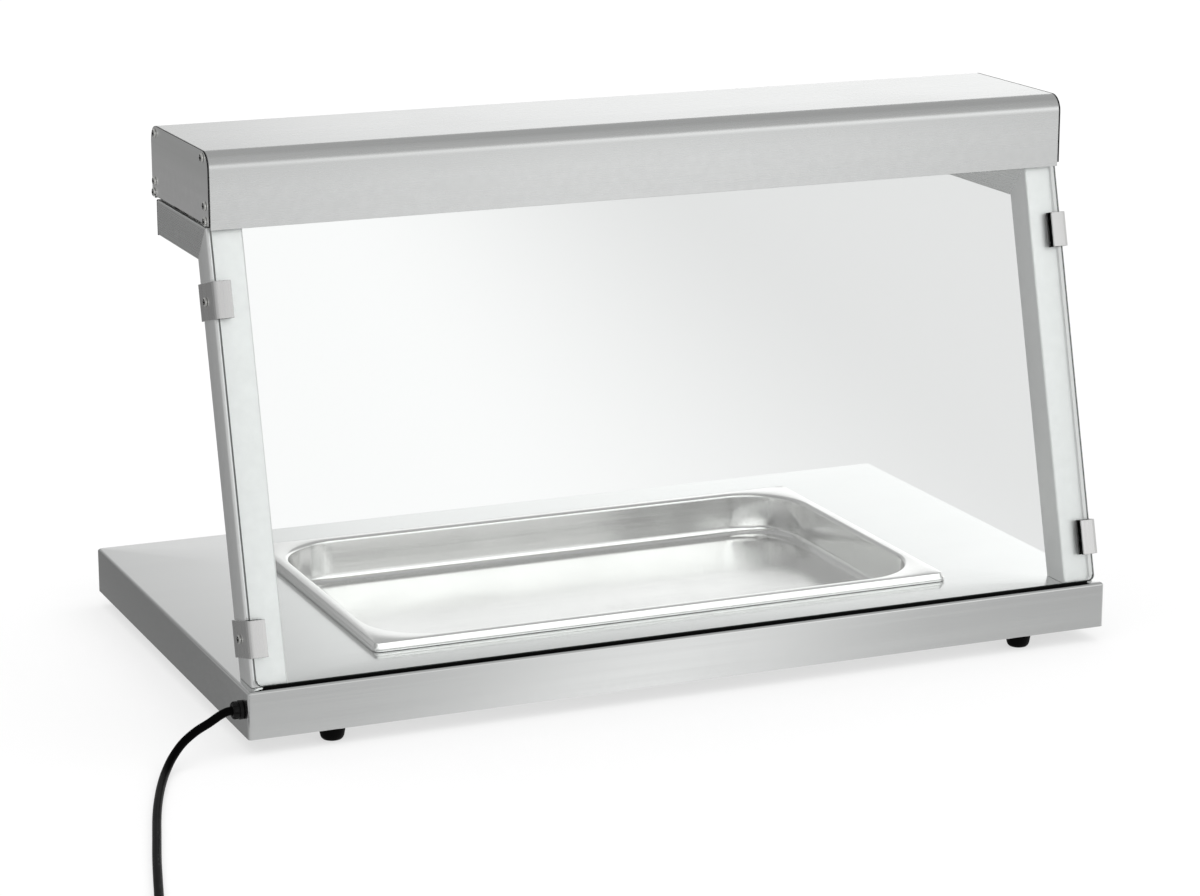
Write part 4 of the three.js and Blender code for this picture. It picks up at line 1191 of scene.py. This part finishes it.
make_hood()
make_reflector()
make_guard()
for hand in ("left", "right"):
    make_lamp(hand)
for place in ("left", "middle", "right"):
    refined(f"lamp_holder_{place}", f"ceramic_holder_{place}", ceramic, 0.8 * MM)


# ------------------------------------------------------------------ controls
def joint_place(name):
    """Where a joint of the frame is."""
    return np.array(next(j for j in frame["joints"] if j["name"] == name)["pos_m"], float)


BACKWARDS = np.array([0, 1.0, 0])


def make_knob():
    """A turned knob whose grip is fluted: its radius falls by half a millimetre in each of twenty
    flutes between the skirt and the face."""
    centre = joint_place("regulator_turn")
    profile = np.array([
        [0, -11], [3, -11], [3, 0.6], [16.4, 0.6], [17, 1.1], [17, 2.6], [16.5, 3.3], [15.3, 4], [14.9, 5.4],
        [14.5, 14.6], [14.1, 15.7], [13.2, 16.4], [11.6, 16.6], [10.9, 16.1], [0, 16.1],
    ]) * MM
    points, faces = turned(profile, 160)
    radius = np.hypot(points[:, 0], points[:, 1])
    angle = np.arctan2(points[:, 1], points[:, 0])
    from_skirt = np.clip((points[:, 2] - 4 * MM) / (1.5 * MM), 0, 1)
    from_face = np.clip((16.6 * MM - points[:, 2]) / (1 * MM), 0, 1)
    wave = np.clip(np.cos(angle * 20) * 1.5 - 0.3, 0, 1)
    flute = 0.8 * MM * wave * from_skirt * from_face * (radius > 12 * MM)
    shrink = (1 - flute / np.maximum(radius, 1e-6))[:, None]
    points = points * np.hstack([shrink, shrink, np.ones_like(shrink)])
    piece_of("fluted_knob", placed((points, faces), centre, BACKWARDS), black_plastic, KNOB,
             "regulator_knob", sharp=40)
    face = centre[1] + 16.1 * MM
    line = block((centre[0] - 0.7 * MM, face - 0.4 * MM, centre[2] + 3 * MM),
                 (centre[0] + 0.7 * MM, face + 0.35 * MM, centre[2] + 10.4 * MM))
    piece_of("knob_line", line, white_print, KNOB, edge=0.2 * MM)


def make_dial():
    """Marks on the hood round the knob, one each thirty degrees from the top, clockwise as the
    operator sees them, and longer each ninety."""
    centre = joint_place("regulator_turn")
    marks = []
    for step in range(10):
        turn = math.radians(step * 30)
        out = np.array([-math.sin(turn), 0, math.cos(turn)])
        beside = np.array([math.cos(turn), 0, math.sin(turn)])
        length = 3.4 * MM if step % 3 == 0 else 2.0 * MM
        middle = np.array([centre[0], hood_high.y, centre[2]]) + out * (19.2 * MM + length / 2)
        half = (out * length / 2, beside * 0.4 * MM)
        corners = [middle + a * half[0] + b * half[1] + BACKWARDS * c
                   for c in (-0.2 * MM, 0.08 * MM) for a, b in ((-1, -1), (1, -1), (1, 1), (-1, 1))]
        marks.append((np.array(corners), block((0, 0, 0), (1, 1, 1))[1]))
    piece_of("dial_marks", marks, dark_print)


def make_rocker():
    """The rocker's side outline, with a shallow hollow between its two raised ends, carried across
    and turned to the off position."""
    low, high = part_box("switch_rocker")
    centre = joint_place("switch_tilt")
    tip, tilt = 10.5 * MM, math.radians(8)
    across = np.linspace(-1, 1, 25)
    face = np.column_stack([2.6 * MM + 1.8 * MM * np.abs(across) ** 1.7, across * tip])
    outline = np.vstack([face, [[-4 * MM, tip - 2.5 * MM], [-4 * MM, -tip + 2.5 * MM]]])
    y = outline[:, 0] * math.cos(tilt) + outline[:, 1] * math.sin(tilt)
    z = -outline[:, 0] * math.sin(tilt) + outline[:, 1] * math.cos(tilt)
    half = (high.x - low.x) / 2
    rows = [
        np.column_stack([np.full(len(y), centre[0] + x), centre[1] + y, centre[2] + z])
        for x in (-half, half)
    ]
    piece_of(
        "rocker_key", lofted(rows), red_plastic, ROCKER, "switch_rocker",
        edge=0.5 * MM, sharp=30,
    )


make_knob()
make_dial()
make_rocker()
dress("regulator_body", black_plastic)
refined("switch_body", "switch_bezel", black_plastic, 0.5 * MM)


# ------------------------------------------------------------------ floor, light and world
def make_floor():
    """A wide flat floor, as pale as the light on it, with painted backdrop shade where it is seen through the
    screen.
    """
    mesh = bpy.data.meshes.new("studio_floor")
    reach = 60.0
    corners = [(-reach, -reach, 0), (reach, -reach, 0), (reach, reach, 0), (-reach, reach, 0)]
    mesh.from_pydata(corners, [], [(0, 1, 2, 3)])
    floor = bpy.data.objects.new("studio_floor", mesh)
    bpy.context.scene.collection.objects.link(floor)
    material, tree, shader, where = blank("floor_paint")
    shader.inputs["Base Color"].default_value = (0.36, 0.36, 0.36, 1)
    shader.inputs["Roughness"].default_value = 0.9
    shader.inputs["Specular IOR Level"].default_value = 0.0
    shader.inputs["Emission Color"].default_value = (1, 1, 1, 1)
    shader.inputs["Emission Strength"].default_value = 0.6
    # Painted shade: seen through the screen, the floor is an emission that fades darker to the right, to
    # about three quarters of white, standing in for light falling off a backdrop.
    split = tree.nodes.new("ShaderNodeSeparateXYZ")
    tree.links.new(where.outputs["Object"], split.inputs[0])
    lean = maths(tree, "MULTIPLY_ADD", split.outputs["Y"], -0.222, split.outputs["X"])
    painted_falloff = ranged(tree, lean, -0.05, 0.57, 1.0, 0.76)
    path = tree.nodes.new("ShaderNodeLightPath")
    painted_backdrop_glow = tree.nodes.new("ShaderNodeEmission")
    tree.links.new(painted_falloff, painted_backdrop_glow.inputs["Strength"])
    behind = maths(tree, "MINIMUM", path.outputs["Transmission Depth"], 1.0)
    mix = tree.nodes.new("ShaderNodeMixShader")
    tree.links.new(behind, mix.inputs["Fac"])
    tree.links.new(shader.outputs["BSDF"], mix.inputs[1])
    tree.links.new(painted_backdrop_glow.outputs["Emission"], mix.inputs[2])
    tree.links.new(mix.outputs["Shader"], tree.nodes["Material Output"].inputs["Surface"])
    mesh.materials.append(material)
    floor.visible_glossy = False


def lamp_object(light, place, target):
    """Places a lamp and turns it to its target. Steel does not mirror it."""
    lamp = bpy.data.objects.new(light.name, light)
    bpy.context.scene.collection.objects.link(lamp)
    lamp.location = place
    towards = Vector(target) - Vector(place)
    lamp.rotation_euler = towards.to_track_quat("-Z", "Y").to_euler()
    lamp.visible_glossy = False
    return lamp


def make_skylight():
    """A very soft lamp from overhead and a little in front, for everything that isn't metal."""
    light = bpy.data.lights.new("skylight", "SUN")
    light.energy = 2.4
    light.angle = math.radians(110)
    lamp_object(light, (0.3, -0.9, 4.0), (0, 0, 0))


# Studio brightness by compass direction, in degrees clockwise from the back (+Y): at and below
# the horizon, a little above it, and high up.
LOW_RING = [
    (-180, 0.56), (-120, 0.5), (-60, 0.3), (-30, 0.42), (-21, 0.19), (-12, 0.2), (10, 0.75), (40, 0.85),
    (110, 0.72), (143, 0.5), (150, 0.54), (156.5, 1.18), (163, 0.56), (180, 0.54),
]
MIDDLE_RING = [
    (-180, 0.9), (-120, 0.6), (-60, 0.34), (-30, 0.5), (-20, 0.24), (-5, 0.45), (8, 0.62), (16, 0.84),
    (19, 1.12), (25, 1.24), (40, 1.4), (100, 0.85), (140, 0.85), (150, 1.3), (158, 1.1), (164, 0.95),
    (180, 0.8),
]
HIGH_RING = [
    (-180, 0.5), (-90, 0.32), (0, 0.42), (40, 0.44), (100, 0.42), (140, 0.5), (165, 0.52), (180, 0.5),
]


def brightness_round(tree, turn, ring):
    """Brightness by compass direction, eased between the points of a ring."""
    ramp = tree.nodes.new("ShaderNodeValToRGB")
    ramp.color_ramp.interpolation = "EASE"
    points = ramp.color_ramp.elements
    while len(points) < len(ring):
        points.new(0.5)
    for point, (degrees, value) in zip(points, ring):
        point.position = degrees / 360 + 0.5
        point.color = (value, value, value, 1)
    tree.links.new(turn, ramp.inputs["Fac"])
    return ramp.outputs["Color"]


def make_world():
    """Three rings of brightness, blended by how high a direction looks."""
    world = bpy.data.worlds.new("studio")
    bpy.context.scene.world = world
    world.use_nodes = True
    tree = world.node_tree
    where = tree.nodes.new("ShaderNodeTexCoord")
    split = tree.nodes.new("ShaderNodeSeparateXYZ")
    tree.links.new(where.outputs["Generated"], split.inputs[0])
    compass = maths(tree, "ARCTAN2", split.outputs["X"], split.outputs["Y"])
    turn = maths(tree, "MULTIPLY_ADD", compass, 1 / (2 * math.pi), 0.5)
    up = split.outputs["Z"]
    over_horizon = ranged(tree, up, -0.1, 0.12, 0.0, 1.0)
    high = ranged(tree, up, 0.28, 0.42, 0.0, 1.0)
    low_ring = brightness_round(tree, turn, LOW_RING)
    middle_ring = brightness_round(tree, turn, MIDDLE_RING)
    high_ring = brightness_round(tree, turn, HIGH_RING)
    lower = between(tree, over_horizon, low_ring, middle_ring)
    mixed = between(tree, high, lower, high_ring)
    background = tree.nodes["Background"]
    tree.links.new(mixed, background.inputs["Color"])
    background.inputs["Strength"].default_value = 1.0


make_floor()
make_skylight()
make_world()
bpy.context.scene.view_settings.view_transform = "Standard"
